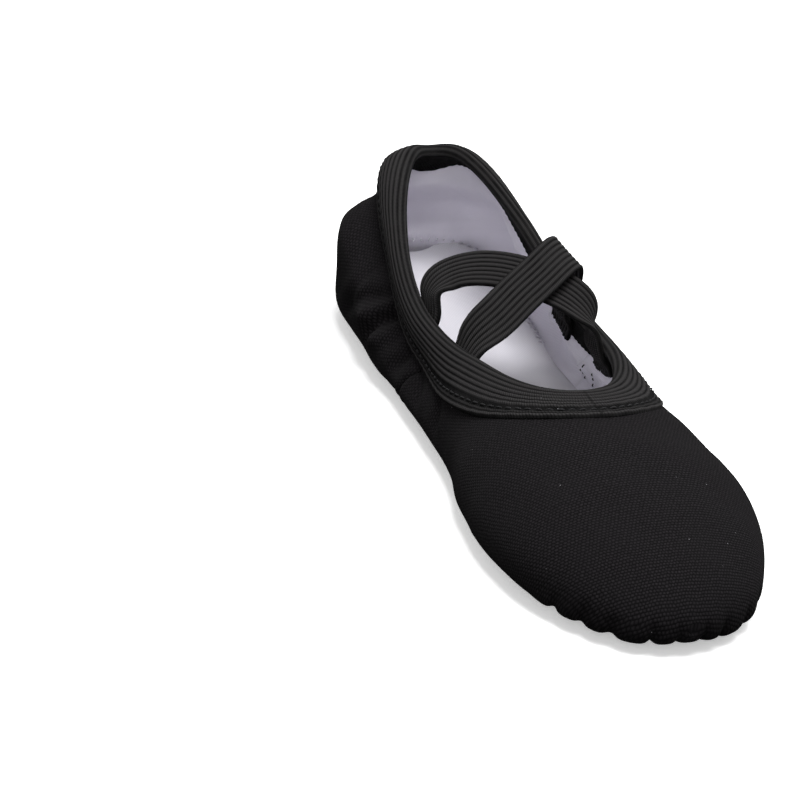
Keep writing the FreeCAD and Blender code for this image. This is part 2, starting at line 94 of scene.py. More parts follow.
SEAM_STRAIGHT_ABOVE = 30.0
BODY_CENTRE_HEIGHT = 14.0


# ---- the foot form: the same cross-sections as the CAD frame ----

def smooth_profile(points, x):
    """Monotone cubic curve through a few (station, value) points, for an array of stations."""
    xs, ys = (np.array(column, float) for column in zip(*points))
    steps = np.diff(ys) / np.diff(xs)
    before, after = steps[:-1], steps[1:]
    rising = before * after > 0
    inner = np.where(rising, 2 * before * after / np.where(rising, before + after, 1.0), 0.0)
    slopes = np.concatenate([steps[:1], inner, steps[-1:]])
    x = np.clip(x, xs[0], xs[-1])
    k = np.clip(np.searchsorted(xs, x, side="right") - 1, 0, len(xs) - 2)
    span = np.diff(xs)[k]
    u = (x - xs[k]) / span
    return ((1 + 2 * u) * (1 - u) ** 2 * ys[k] + u * (1 - u) ** 2 * span * slopes[k]
            + u * u * (3 - 2 * u) * ys[k + 1] + u * u * (u - 1) * span * slopes[k + 1])


def end_rounding(distance, length, near_power, far_power):
    """How the form closes at an end: 0 at the end, 1 at a length from it and beyond."""
    share = np.clip(distance / length, 0.0, 1.0)
    return (1 - (1 - share) ** near_power) ** (1 / far_power)


def half_width(x):
    middle = smooth_profile([
        (32, HEEL_HALF), (70, HEEL_HALF), (104, ARCH_HALF),
        (131, 0.67 * ARCH_HALF + 0.33 * BALL_HALF),
        (147, 0.25 * ARCH_HALF + 0.75 * BALL_HALF),
        (LENGTH - 60, BALL_HALF),
    ], x)
    rounded = middle * end_rounding(LENGTH - x, 60.0, 2.25, 2.05) * end_rounding(x, 32.0, 2.3, 2.1)
    return np.maximum(rounded, 1e-3)


def widest_height(x):
    """Height at which each cross-section is widest."""
    return smooth_profile([(0, 17), (20, 15), (60, 12.5), (110, 11.5),
                           (160, 11), (200, 10), (LENGTH, 9)], x)


def crest_height(x):
    """Height of the form along its middle line."""
    crest = smooth_profile([
        (0, HEEL_HEIGHT + 3.5), (OPENING_BACK, HEEL_HEIGHT + 3.5), (45, HEEL_HEIGHT - 3.5),
        (82, WAIST_HEIGHT), (110, WAIST_HEIGHT - 0.5), (OPENING_THROAT, THROAT_HEIGHT),
        (165, THROAT_HEIGHT - 0.3), (190, TOE_HEIGHT), (LENGTH, TOE_HEIGHT - 8.0),
    ], x)
    rounding = end_rounding(LENGTH - x, 32.0, 2.2, 2.0) * end_rounding(x, 22.0, 2.6, 2.0)
    return widest_height(x) + (crest - widest_height(x)) * rounding


def sole_height(x):
    """Underside of the form: the floor level, lifted at both ends."""
    rise = 0.85 * (1 - end_rounding(LENGTH - x, 9.0, 2.0, 2.0) * end_rounding(x, 9.0, 2.0, 2.0))
    return SOLE_LEVEL + (widest_height(x) - SOLE_LEVEL) * rise


def section_powers(x, upper):
    """Superellipse powers of a cross-section, above and below its widest height."""
    across = smooth_profile([(0, 2.3), (40, 2.6), (100, 2.6), (140, 2.2), (175, 2.1)], x)
    upright = smooth_profile([(0, 2.0), (40, 2.2), (100, 2.2), (140, 2.0)], x)
    return np.where(upper, across, 4.4), np.where(upper, upright, 3.6)


def form_value(p):
    """Below 0 inside the foot form, 0 on its surface and above 0 outside; p is an array of points."""
    x, y, z = p[..., 0], p[..., 1], p[..., 2]
    middle = widest_height(x)
    upper = z >= middle
    across, upright = section_powers(x, upper)
    reach = np.where(upper, crest_height(x) - middle, middle - sole_height(x))
    value = ((np.abs(y) / half_width(x)) ** across
             + (np.abs(z - middle) / np.maximum(reach, 1e-3)) ** upright - 1)
    beyond = np.maximum(-x, x - LENGTH)
    return np.where(beyond > 0, 5.0 + beyond, value)


def form_normal(p, step=0.04):
    """Outward normals of the form at points on it."""
    inside = p.copy()
    inside[..., 0] = np.clip(inside[..., 0], 0.3, LENGTH - 0.3)
    slope = np.stack([form_value(inside + step * axis) - form_value(inside - step * axis)
                      for axis in np.eye(3)], -1)
    return slope / np.linalg.norm(slope, axis=-1, keepdims=True)


def settle(p):
    """Nearest points of the form's surface, by Newton steps."""
    for _ in range(5):
        slope = np.stack([(form_value(p + 0.04 * axis) - form_value(p - 0.04 * axis)) / 0.08
                          for axis in np.eye(3)], -1)
        p = p - slope * (form_value(p) / (slope ** 2).sum(-1))[..., None]
    return p


def top_height(x, y):
    """Height of the form's upper face above a point of the plan."""
    middle = widest_height(x)
    across, upright = section_powers(x, np.ones_like(x, bool))
    share = np.maximum(1 - (np.abs(y) / half_width(x)) ** across, 0.0)
    return middle + (crest_height(x) - middle) * share ** (1 / upright)


def signed_power(value, power):
    return np.sign(value) * np.abs(value) ** power


def run_along(points):
    """Distances run along points from the first of them, which are counted on the first axis."""
    steps = np.linalg.norm(np.diff(points, axis=0), axis=-1)
    return np.concatenate([np.zeros((1, *steps.shape[1:])), np.cumsum(steps, 0)])


def rim_points(turn):
    """Points on the rim of the opening; turn runs from 0 to 1, anticlockwise from the throat."""
    angle = 2 * np.pi * turn
    middle, reach = (OPENING_BACK + OPENING_THROAT) / 2, (OPENING_THROAT - OPENING_BACK) / 2
    along = signed_power(np.cos(angle), 2 / OPENING_POWER)
    x = middle + reach * along
    y = OPENING_HALF * (1 + OPENING_TAPER * along / 2) * signed_power(np.sin(angle), 2 / OPENING_POWER)
    return np.stack([x, y, top_height(x, y)], -1)


SPREAD = 2.8


def rim_heights():
    """The height of the opening's rim against the station."""
    rim = rim_points(np.linspace(0, 1, 1001))
    order = np.argsort(rim[:, 0])
    return rim[order, 0], rim[order, 2]


RIM_STATIONS, RIM_HEIGHTS = rim_heights()


def spread(p):
    """Let the right side of the opening fall outwards at the heel, with all that hangs from it."""
    below = np.interp(p[..., 0], RIM_STATIONS, RIM_HEIGHTS) - p[..., 2]
    out = SPREAD * (1 - fade(below, 0.0, 13.0)) * (1 - fade(p[..., 0], 52, 100))
    wider = np.array(p, float)
    wider[..., 1] -= out * fade(-p[..., 1], 2.0, 20.0)
    return wider


# ---- meridians: curves from the middle of the sole, over the rim of the shoe, to the opening ----

CENTRE_STATION = SEAM_SOLE


def seam_lean(height):
    """How far ahead of its foot the side seam lies at a height."""
    low = np.minimum(height, SEAM_STRAIGHT_ABOVE)
    return SEAM_CURVE * low ** 2 + 0.5 * (height - low)


def shear(p):
    """Lean the form so that the curved side seam stands upright."""
    leaned = p.copy()
    leaned[..., 0] -= seam_lean(p[..., 2]) + CENTRE_STATION
    leaned[..., 2] -= BODY_CENTRE_HEIGHT
    return leaned


def unshear(p):
    """Undo shear()."""
    upright = p.copy()
    upright[..., 2] += BODY_CENTRE_HEIGHT
    upright[..., 0] += seam_lean(upright[..., 2]) + CENTRE_STATION
    return upright


def march(azimuth, elevation):
    """Where rays from the middle of the shoe meet the form."""
    ray = np.stack([np.cos(elevation) * np.cos(azimuth), np.cos(elevation) * np.sin(azimuth),
                    np.sin(elevation)], -1)
    near, far = np.full(azimuth.shape, 2.0), np.full(azimuth.shape, 190.0)
    for _ in range(24):
        middle = (near + far) / 2
        outside = form_value(unshear(ray * middle[..., None])) > 0
        near, far = np.where(outside, near, middle), np.where(outside, middle, far)
    return unshear(ray * far[..., None])


def rim_elevation(azimuth):
    """Elevation of the opening's rim in a direction, seen from the middle of the shoe."""
    rim = shear(rim_points(np.linspace(0, 1, 2001)))
    turn = np.unwrap(np.arctan2(rim[:, 1], rim[:, 0]))
    lift = np.arctan2(rim[:, 2], np.hypot(rim[:, 0], rim[:, 1]))
    turn, lift = np.concatenate([turn - 2 * np.pi, turn, turn + 2 * np.pi]), np.tile(lift, 3)
    return np.interp(azimuth, turn, lift)


def meridian_grid(azimuths, shares):
    """Points of the form on a grid: one column for each azimuth, one row for each share of the way up."""
    steps = np.linspace(0, 1, 160)
    top = rim_elevation(azimuths)
    bottom = -np.pi / 2 + 0.03
    elevation = bottom + (top[None, :] - bottom) * steps[:, None]
    azimuth = np.broadcast_to(azimuths[None, :], elevation.shape)
    coarse = march(azimuth, elevation)
    run = run_along(coarse)
    rows = np.empty((len(shares), len(azimuths)))
    for column in range(len(azimuths)):
        rows[:, column] = np.interp(shares * run[-1, column], run[:, column], elevation[:, column])
    points = march(np.broadcast_to(azimuths[None, :], rows.shape), rows)
    return points, run[-1]


# ---- mesh helpers ----

def to_frame(points):
    """The script's millimetres as metres in the frame's axes."""
    return (np.asarray(points, float) + np.array([HEEL_BACK, 0.0, 0.0])) * MM


def grid_faces(rows, columns, wrap_columns=False, start=0):
    """Quads of a grid of points that are stored row by row."""
    row = np.arange(rows - 1)[:, None]
    column = np.arange(columns if wrap_columns else columns - 1)[None, :]
    across = (column + 1) % columns
    corners = (row * columns + column, row * columns + across,
               (row + 1) * columns + across, (row + 1) * columns + column)
    return np.stack(corners, -1).reshape(-1, 4) + start


def capped_faces(count, around, start=0):
    """Faces of a solid swept through rings of points, with its two ends closed."""
    end = np.arange(around) + start
    return [*grid_faces(count, around, True, start), end[::-1], end + (count - 1) * around]


def make_object(name, points, faces, uv, marks=None):
    """Smooth mesh object; uv and marks hold one value for each point."""
    mesh = bpy.data.meshes.new(name)
    mesh.from_pydata(to_frame(spread(points)).tolist(), [], [face.tolist() for face in faces])
    mesh.shade_smooth()
    loops = np.empty(len(mesh.loops), np.int32)
    mesh.loops.foreach_get("vertex_index", loops)
    layer = mesh.uv_layers.new(name="cloth")
    layer.data.foreach_set("uv", np.asarray(uv, np.float32).reshape(-1, 2)[loops].ravel())
    for mark, values in (marks or {}).items():
        attribute = mesh.attributes.new(mark, "FLOAT", "POINT")
        attribute.data.foreach_set("value", np.asarray(values, np.float32).ravel())
    mesh.validate()
    obj = bpy.data.objects.new(name, mesh)
    bpy.context.collection.objects.link(obj)
    return obj


def make_shell(name, outer, inner, uv):
    """Closed sheet of cloth between two equal grids of points."""
    rows, columns = outer.shape[:2]
    count = rows * columns
    index = np.arange(count).reshape(rows, columns)
    rim = np.concatenate([index[0, :], index[1:, -1], index[-1, -2::-1], index[-2:0:-1, 0]])
    following = np.roll(rim, -1)
    front = grid_faces(rows, columns)
    back = front[:, ::-1] + count
    edge = np.stack([following, rim, rim + count, following + count], -1)
    points = np.concatenate([outer.reshape(-1, 3), inner.reshape(-1, 3)])
    return make_object(name, points, np.concatenate([front, back, edge]), np.stack([uv, uv]))


def make_tube(name, sections, closed, uv, marks=None):
    """Solid swept through closed cross-sections; the sweep itself may be closed too."""
    count, around = sections.shape[:2]
    if closed:
        faces = grid_faces(count + 1, around, wrap_columns=True) % (count * around)
    else:
        faces = capped_faces(count, around)
    return make_object(name, sections.reshape(-1, 3), faces, uv, marks)


def make_disc(name, rings, marks=None):
    """Flat solid through a stack of rings that starts and ends near its middle."""
    grid = np.stack(rings)
    faces = [face[::-1] for face in capped_faces(*grid.shape[:2])]
    points = grid.reshape(-1, 3)
    return make_object(name, points, faces, points[:, :2], marks)


def wobble(p, wavelength, seed, waves=7):
    """Smooth uneven field between about -1 and 1, the same on every run."""
    source = np.random.default_rng(seed)
    total = np.zeros(p.shape[:-1])
    for _ in range(waves):
        direction = source.normal(size=3)
        direction *= 2 * np.pi / (wavelength * source.uniform(0.7, 1.5) * np.linalg.norm(direction))
        total += np.sin(p @ direction + source.uniform(0, 2 * np.pi))
    return total / math.sqrt(waves)


def fade(value, low, high):
    """0 below low, 1 above high, smooth in between; also falls when high is below low."""
    share = np.clip((value - low) / (high - low), 0.0, 1.0)
    return share * share * (3 - 2 * share)


# ---- cloth coordinates: millimetres along and across the weave ----

TABLE_STATIONS = np.concatenate([np.linspace(0.2, 12, 25), np.linspace(13, 205, 97),
                                 np.linspace(206, LENGTH - 0.2, 33)])
TABLE_ANGLES = np.linspace(-np.pi / 2, np.pi / 2, 181)


# the weave's rows run straight over the toe: planes through a line below it
TOE_WEAVE_STATION, TOE_WEAVE_DEPTH = 175.0, -45.0
TOE_WEAVE_REACH = 76.0


def cloth_tables():
    """Length round each cross-section from its top, and length along the top from the heel."""
    x, angle = np.meshgrid(TABLE_STATIONS, TABLE_ANGLES, indexing="ij")
    middle = widest_height(x)
    upper = angle >= 0
    across, upright = section_powers(x, upper)
    reach = np.where(upper, crest_height(x) - middle, middle - sole_height(x))
    y = half_width(x) * np.cos(angle).clip(0) ** (2 / across)
    z = middle + reach * signed_power(np.sin(angle), 2 / upright)
    step = np.hypot(np.diff(y, axis=1), np.diff(z, axis=1))
    from_top = np.concatenate([np.cumsum(step[:, ::-1], 1)[:, ::-1], np.zeros((len(step), 1))], 1)
    crest = crest_height(TABLE_STATIONS)
    along = np.concatenate([[0], np.cumsum(np.hypot(np.diff(TABLE_STATIONS), np.diff(crest)))])
    return from_top, along


FROM_TOP, ALONG_TOP = cloth_tables()


def cloth_uv(p):
    """Cloth coordinates in millimetres of points on the form."""
    x, y, z = p[..., 0], p[..., 1], p[..., 2]
    middle = widest_height(x)
    upper = z >= middle
    across, upright = section_powers(x, upper)
    reach = np.maximum(np.where(upper, crest_height(x) - middle, middle - sole_height(x)), 1e-3)
    rise = signed_power((z - middle) / reach, upright / 2)
    sideways = (np.abs(y) / half_width(x)) ** (across / 2)
    angle = np.arctan2(rise, np.maximum(sideways, 1e-6))
    row = np.interp(x, TABLE_STATIONS, np.arange(len(TABLE_STATIONS)))
    column = np.interp(angle, TABLE_ANGLES, np.arange(len(TABLE_ANGLES)))
    i = np.minimum(row.astype(int), len(TABLE_STATIONS) - 2)
    j = np.minimum(column.astype(int), len(TABLE_ANGLES) - 2)
    u, v = row - i, column - j
    length = (FROM_TOP[i, j] * (1 - u) * (1 - v) + FROM_TOP[i + 1, j] * u * (1 - v)
              + FROM_TOP[i, j + 1] * (1 - u) * v + FROM_TOP[i + 1, j + 1] * u * v)
    ahead = np.maximum(x - TOE_WEAVE_STATION, 0.0)
    depth = z - TOE_WEAVE_DEPTH
    over_toe = TOE_WEAVE_REACH * np.arctan2(ahead, depth)
    along = np.interp(np.minimum(x, TOE_WEAVE_STATION), TABLE_STATIONS, ALONG_TOP) + over_toe
    front = fade(x, 185.0, 212.0)
    return np.stack([(1 - front) * np.sign(y) * length + front * 1.2 * y, along], -1)


# ---- relief of the canvas: pleats at the toe, creases over the arch, gathers under the elastic ----

CINCH_DEPTH = 4.0
PLEAT_CENTRE = 160.0
PLEAT_COUNT = 27
PLEAT_SPREAD = math.radians(112)
PATCH_FRONT = 163.0
PATCH_RADIUS = 28.0


def pleats(p):
    """Gathers that radiate from the forefoot patch to the rim of the toe."""
    source = np.random.default_rng(21)
    depth = source.uniform(0.65, 1.2, PLEAT_COUNT + 4)
    lean = source.uniform(-0.16, 0.16, PLEAT_COUNT + 4)
    angle = np.arctan2(p[..., 1], p[..., 0] - PLEAT_CENTRE)
    spacing = 2 * PLEAT_SPREAD / PLEAT_COUNT
    from_patch = np.hypot(p[..., 0] - PATCH_FRONT, p[..., 1]) - PATCH_RADIUS
    turn = angle / spacing + PLEAT_COUNT / 2 + 0.12 * wobble(p, 30, 3) + 0.35 * np.sin(angle * 5.3)
    which = np.clip(np.round(turn).astype(int), 0, PLEAT_COUNT + 3)
    across = turn - which + lean[which]
    valley = np.exp(-(across / 0.14) ** 2)
    swell = np.cos(np.pi * np.clip(across, -0.5, 0.5)) ** 2
    side = fade(np.abs(angle), 0.5, 0.9)
    reach = fade(from_patch, -1.0, 1.5) * (1 - fade(p[..., 2] + 6.0 * side, 5.0, 13.0 - 2.5 * side))
    reach *= 1 - fade(np.abs(angle), PLEAT_SPREAD - 0.25, PLEAT_SPREAD + 0.05)
    strength = depth[which] * (2.0 - 0.95 * fade(from_patch, 1, 12))
    return reach * (0.55 - strength * valley - 0.25 * swell)


# station, height, half length, depth, slant and side of the deeper creases; side -1 is the right
CREASES = [
    (60.0, 20.0, 13.0, 3.2, 0.80, -1),
    (51.0, 23.0, 8.0, 1.7, 1.25, -1),
    (76.0, 13.0, 10.0, 1.5, 0.50, -1),
    (96.0, 10.0, 11.0, 1.3, -0.45, -1),
    (112.0, 14.0, 11.0, 1.0, -0.30, -1),
    (38.0, 14.0, 11.0, 1.1, 0.95, -1),
    (64.0, 19.0, 12.0, 2.2, 0.65, 1),
    (52.0, 24.0, 8.0, 1.2, 1.15, 1),
    (88.0, 11.0, 11.0, 1.5, -0.40, 1),
    (108.0, 13.0, 11.0, 1.0, -0.25, 1),
    (40.0, 13.0, 10.0, 1.0, 0.90, 1),
]


def wall_creases(p):
    """The deeper creases of the walls, each with a soft ridge on both sides."""
    total = np.zeros(p.shape[:-1])
    for station, height, reach, depth, slant, side in CREASES:
        along, up = p[..., 0] - station, p[..., 2] - height
        across = along * math.cos(slant) - up * math.sin(slant)
        run = along * math.sin(slant) + up * math.cos(slant)
        across = across + 0.05 * run * np.abs(run)
        same_side = fade(side * p[..., 1], 6.0, 14.0) * fade(p[..., 2], 7.0, 15.0)
        ridge = 0.5 * np.exp(-((np.abs(across) - 5.2) / 2.8) ** 2)
        total += depth * same_side * np.exp(-(run / reach) ** 2) * (ridge - np.exp(-(across / 2.2) ** 2))
    return total


def arch_wrinkles(p):
    """Wrinkles across the soft part between the two sole patches."""
    zone = fade(p[..., 0], 48, 62) * (1 - fade(p[..., 0], 112, 126)) * (1 - fade(p[..., 2], 2, 8))
    bend = p[..., 0] + 3.0 * wobble(p, 45, 11)
    folds = np.abs(np.sin(np.pi * bend / 8.5)) ** 0.7 - 0.6
    return zone * folds * (0.35 + 0.25 * wobble(p, 38, 12))


def edge_gathers(p, down):
    """Small puckers where the canvas is drawn in by the elastic."""
    ripple = np.sin(2 * np.pi * (p[..., 0] + 0.6 * p[..., 1]) / 4.6 + 1.8 * wobble(p, 26, 5))
    sides = 0.06 + 0.94 * (1 - fade(p[..., 0], 88, 116))
    return 0.16 * sides * ripple * np.exp(-np.maximum(down - 11.0, 0) / 7.0) * fade(down, 6, 10)


def cinch(p):
    """How the elastic draws the wall in below the rim, and the canvas puffs out under it."""
    down = np.interp(p[..., 0], RIM_STATIONS, RIM_HEIGHTS) - p[..., 2]
    heel = 1 - fade(p[..., 0], 84, 122)
    drawn = -CINCH_DEPTH * fade(down, 0.0, 11.0) * (1 - fade(down, 11.5, 23.0))
    puff = 1.7 * np.exp(-((down - 25.0) / 8.0) ** 2) * (1 - fade(p[..., 0], 48, 78))
    back = 0.9 * np.exp(-((down - 19.0) / 6.0) ** 2) * (1 - fade(p[..., 0], 22, 46))
    return heel * drawn + puff + back


def band_width(p):
    """The elastic lies wider across the throat than at the heel, where it is drawn in."""
    return 1 + 0.15 * fade(p[..., 0], 84, 130) - 0.07 * (1 - fade(p[..., 0], 40, 84))


def canvas_relief(p, down):
    """All that lifts or sinks the canvas from the form; down is the distance from the opening."""
    soft = 0.42 * wobble(p, 46, 1) + 0.16 * wobble(p, 19, 2)
    flat = fade(p[..., 2], 2.0, 7.0)
    seam = shear(p)[..., 0]
    groove = -0.5 * np.exp(-(seam / 0.8) ** 2) + 0.22 * np.exp(-((np.abs(seam) - 2.2) / 1.2) ** 2)
    arch = fade(p[..., 0], 40, 54) * (1 - fade(p[..., 0], 118, 126))
    middle = -0.45 * np.exp(-(p[..., 1] / 0.7) ** 2) * (1 - flat) * arch
    hem = -0.35 * (1 - fade(down / band_width(p), 10.5, 12.5))
    folds = pleats(p) + wall_creases(p) + arch_wrinkles(p) + edge_gathers(p, down)
    return soft * flat + groove + middle + hem + folds + cinch(p)


# ---- upper ----

CANVAS_THICKNESS = 0.8
LINING_THICKNESS = 0.45
COARSE = 1.0


def outline_azimuths(start, stop, count, toe_crowding):
    """Azimuths spaced evenly round the outline of the shoe, closer together at the toe."""
    azimuth = np.linspace(start, stop, 1201)
    outline = march(azimuth, np.full_like(azimuth, -0.05))
    crowd = 1 + toe_crowding * fade(outline[1:, 0], 140, 180)
    run = np.concatenate([[0], np.cumsum(np.linalg.norm(np.diff(outline, axis=0), axis=-1) * crowd)])
    return np.interp(np.linspace(0, run[-1], count), run, azimuth)


def upper_grid(start, stop, columns, rows, toe_crowding=0.0):
    """Grid of points from the sole to the opening, its normals, and the distance to the opening."""
    azimuths = outline_azimuths(start, stop, columns, toe_crowding)
    shares = np.linspace(0, 1, rows)
    points, run = meridian_grid(azimuths, shares)
    down = (1 - shares)[:, None] * run[None, :]
    return points, form_normal(points), down


def build_canvas(name, start, stop, columns, rows, toe_crowding=0.0):
    points, normals, down = upper_grid(start, stop, columns, rows, toe_crowding)
    outer = points + normals * canvas_relief(points, down)[..., None]
    outer[..., 2] = np.maximum(outer[..., 2], 0.25)
    inner = outer - normals * CANVAS_THICKNESS
    return make_shell(name, outer, inner, cloth_uv(points))


def lining_relief(p, down):
    """Loose folds of the lining, only ever inwards."""
    heel = 1 - fade(p[..., 0], 58, 84)
    drape = np.abs(wobble(p * np.array([1.0, 1.0, 0.45]), 26, 31)) * (0.5 + 0.6 * heel)
    fine = 0.25 * np.abs(np.sin(2 * np.pi * (p[..., 0] + 0.8 * p[..., 1]) / 6.5 + 2 * wobble(p, 20, 32)))
    seam = shear(p)[..., 0]
    allowance = 0.45 * fade(seam, -0.4, 0.4) * (1 - fade(seam, 8.0, 8.5))
    clear = fade(down, 8.5, 15.0) * fade(p[..., 2], 3.0, 9.0)
    above = p[..., 2] - 24.0 - 0.30 * (p[..., 0] - 10.0)
    slope = above / np.where(above < 0, 5.0, 1.8)
    fold = 1.9 * np.exp(-slope ** 2) * fade(p[..., 1], -12.0, 2.0) * (1 - fade(p[..., 0], 26, 50))
    return -clear * (drape + fold + fine * np.exp(-np.maximum(down - 7, 0) / 7) + allowance)


def lining_offsets(p, down):
    """How far the lining's two faces lie from the form, along its normal."""
    outer = np.minimum(canvas_relief(p, down), 0.3 + cinch(p)) - CANVAS_THICKNESS - 0.05
    return outer, outer + lining_relief(p, down) - LINING_THICKNESS


def build_lining(name, start, stop, columns, rows):
    points, normals, down = upper_grid(start, stop, columns, rows)
    outer, inner = lining_offsets(points, down)
    return make_shell(name, points + normals * outer[..., None], points + normals * inner[..., None],
                      cloth_uv(points))


# ---- binding ----

def walk_down(turns, downs):
    """Points down the wall from the opening's rim, with the wall's normal and the way up to the rim."""
    rim = rim_points(turns)
    ahead, behind = rim_points((turns + 0.001) % 1.0), rim_points((turns - 0.001) % 1.0)
    along = (ahead - behind) / np.linalg.norm(ahead - behind, axis=-1, keepdims=True)
    point, reached = rim, 0.0
    points, normals, ups = [], [], []
    for down in downs:
        steps = max(int(math.ceil((down - reached) / 1.0)), 1)
        for _ in range(steps if down > reached else 0):
            away = np.cross(along, form_normal(point))
            away /= np.linalg.norm(away, axis=-1, keepdims=True)
            point = settle(point + away * (down - reached) / steps)
        reached = down
        normal = form_normal(point)
        up = np.cross(normal, along)
        points.append(point)
        normals.append(normal)
        ups.append(up / np.linalg.norm(up, axis=-1, keepdims=True))
    return np.stack(points), np.stack(normals), np.stack(ups)


def rim_length(turns):
    """Length along the rim of the opening up to each turn."""
    dense = np.linspace(0, 1, 4001)
    return np.interp(turns, dense, run_along(rim_points(dense)))


def even_turns(count, offset=0.0):
    """Turns spaced evenly along the rim of the opening."""
    dense = np.linspace(0, 1, 4001)
    run = rim_length(dense)
    return np.interp((np.arange(count) + offset) / count * run[-1], run, dense)


BINDING_OUT = 12.4
BINDING_IN = 8.0
BINDING_UNDER = 0.12
BINDING_FACE = 0.85
BINDING_BACK = -2.0
BINDING_LEG = 0.9
FOLD_STEPS = 18
RIB_PITCH = 1.38


def binding_rib(down):
    """Height of the elastic's ribs: six ribs by the edge, a flat band and a doubled selvedge."""
    ribs = 0.55 * np.abs(np.sin(np.pi * down / RIB_PITCH)) ** 0.65 * (1 - fade(down, 8.2, 8.6))
    selvedge = 0.5 * np.exp(-((down - 11.7) / 0.5) ** 4) + 0.4 * np.exp(-((down - 10.5) / 0.42) ** 2)
    return ribs + selvedge


def band_rows(turns):
    """Rows of points under the elastic, for any distance down from its folded edge."""
    step = 0.2
    points, normals, ups = walk_down(turns, np.arange(0, 1.2 * BINDING_OUT, step))
    width = band_width(points[0])
    column = np.arange(len(turns))

    def row(down, offset):
        place = down * width / step
        low = place.astype(int)
        share = (place - low)[:, None]
        point = points[low, column] * (1 - share) + points[low + 1, column] * share
        normal = normals[low, column] * (1 - share) + normals[low + 1, column] * share
        return point + normal * (np.asarray(offset) + cinch(point))[..., None]

    return row, points, normals, ups


def build_binding():
    """Elastic folded over the rim: outer face, round fold, inner leg and the side next to the cloth."""
    turns = even_turns(int(560 * COARSE))
    face = np.linspace(BINDING_OUT, 0, 84)
    back = np.linspace(0, BINDING_IN, 16)[1:]
    row, points, normals, ups = band_rows(turns)
    run = rim_length(turns)
    pucker = 0.10 * np.sin(2 * np.pi * run / 3.4 + 1.5 * np.sin(run / 9.0)) + 0.08 * np.sin(run / 5.7)
    flat = np.zeros_like(run)
    section, across, rib_mark = [], [], []
    for down in face:
        rib_mark.append(min(float(binding_rib(down)) / 0.5, 1.0))
        edge = 1 - fade(down, BINDING_OUT - 0.5, BINDING_OUT)
        thick = BINDING_FACE - BINDING_UNDER + binding_rib(down) + pucker * fade(down, 3, 9)
        section.append(row(down, BINDING_UNDER + thick * edge ** 0.5))
        across.append(-down)
    radius = (BINDING_FACE - BINDING_BACK + BINDING_LEG) / 2
    middle = (BINDING_FACE + BINDING_BACK - BINDING_LEG) / 2
    for step in range(1, FOLD_STEPS):
        angle = math.pi * step / FOLD_STEPS
        rib = 0.18 * abs(math.sin(angle * 3.5))
        reach = radius + rib
        out, up = middle + reach * math.cos(angle), reach * 0.85 * math.sin(angle)
        section.append(points[0] + normals[0] * out + ups[0] * up)
        across.append(radius * angle)
        rib_mark.append(rib / 0.18)
    for down in np.concatenate([[0.0], back]):
        edge = 1 - fade(down, BINDING_IN - 0.6, BINDING_IN)
        fray = 0.12 * np.sin(run * 2.9) * fade(down, 5, 8)
        section.append(row(down, BINDING_BACK - BINDING_LEG * edge ** 0.5 + fray))
        across.append(radius * math.pi + down)
    for down in back[::-3]:
        section.append(row(down, flat + BINDING_BACK + 0.05))
        across.append(radius * math.pi + 2 * BINDING_IN - down)
    section.append(points[0] + normals[0] * middle)
    across.append(30.0)
    for down in face[::-8]:
        section.append(row(down, flat + BINDING_UNDER - 0.02))
        across.append(31.0 + down)
    sections = np.stack(section, 1)
    rib_mark += [0.35] * (len(section) - len(rib_mark))
    uv = np.stack(np.broadcast_arrays(run[:, None], np.array(across)[None, :]), -1)
    marks = {"rib": np.broadcast_to(np.array(rib_mark)[None, ::-1], sections.shape[:2])}
    return make_tube("topline_binding_elastic", sections[:, ::-1], True, uv[:, ::-1], marks)


# ---- crossed straps ----

STRAP_WIDTH = 12.7
STRAP_THICKNESS = 1.0
STRAP_RIBS = 8
STRAP_RIB_HEIGHT = 0.45
STRAP_TAB = 8.5
STRAP_TILT = 0.55
STRAP_DEPTH = -4.43
STRAP_COLUMNS = 97
STRAP_FRONT, STRAP_REAR = 102.5, 76.5


def turn_at_station(station, side):
    """Where on the rim a station lies, on one side."""
    middle, reach = (OPENING_BACK + OPENING_THROAT) / 2, (OPENING_THROAT - OPENING_BACK) / 2
    angle = math.acos(float(signed_power((station - middle) / reach, OPENING_POWER / 2)))
    return angle / (2 * math.pi) if side > 0 else 1 - angle / (2 * math.pi)


def wall_points(station, side, downs, depth):
    """Points down the wall from the rim at a station, moved inwards by a depth."""
    points, normals, _ = walk_down(np.array([turn_at_station(station, side)]), downs)
    drawn = cinch(points[:, 0])
    return points[:, 0] + normals[:, 0] * (depth + 0.6 * drawn)[:, None]


def spline(points, count):
    """Natural cubic spline through points: evenly spaced points on it, and its directions."""
    points = np.asarray(points, float)
    knots = run_along(points)
    n = len(points)
    gaps = np.diff(knots)
    matrix, right = np.eye(n), np.zeros((n, 3))
    for i in range(1, n - 1):
        matrix[i, i - 1:i + 2] = gaps[i - 1], 2 * (gaps[i - 1] + gaps[i]), gaps[i]
        right[i] = 6 * ((points[i + 1] - points[i]) / gaps[i] - (points[i] - points[i - 1]) / gaps[i - 1])
    bend = np.linalg.solve(matrix, right)

    def at(t):
        i = np.clip(np.searchsorted(knots, t, side="right") - 1, 0, n - 2)
        a, b = ((knots[i + 1] - t) / gaps[i])[:, None], ((t - knots[i]) / gaps[i])[:, None]
        swing = ((a ** 3 - a) * bend[i] + (b ** 3 - b) * bend[i + 1]) * (gaps[i] ** 2 / 6)[:, None]
        return a * points[i] + b * points[i + 1] + swing

    dense = at(np.linspace(0, knots[-1], 2001))
    run = run_along(dense)
    even = np.interp(np.linspace(0, run[-1], count), run, np.linspace(0, knots[-1], 2001))
    centres = at(even)
    return centres, unit(np.gradient(centres, axis=0)), np.linspace(0, run[-1], count)


def unit(vectors):
    return vectors / np.linalg.norm(vectors, axis=-1, keepdims=True)


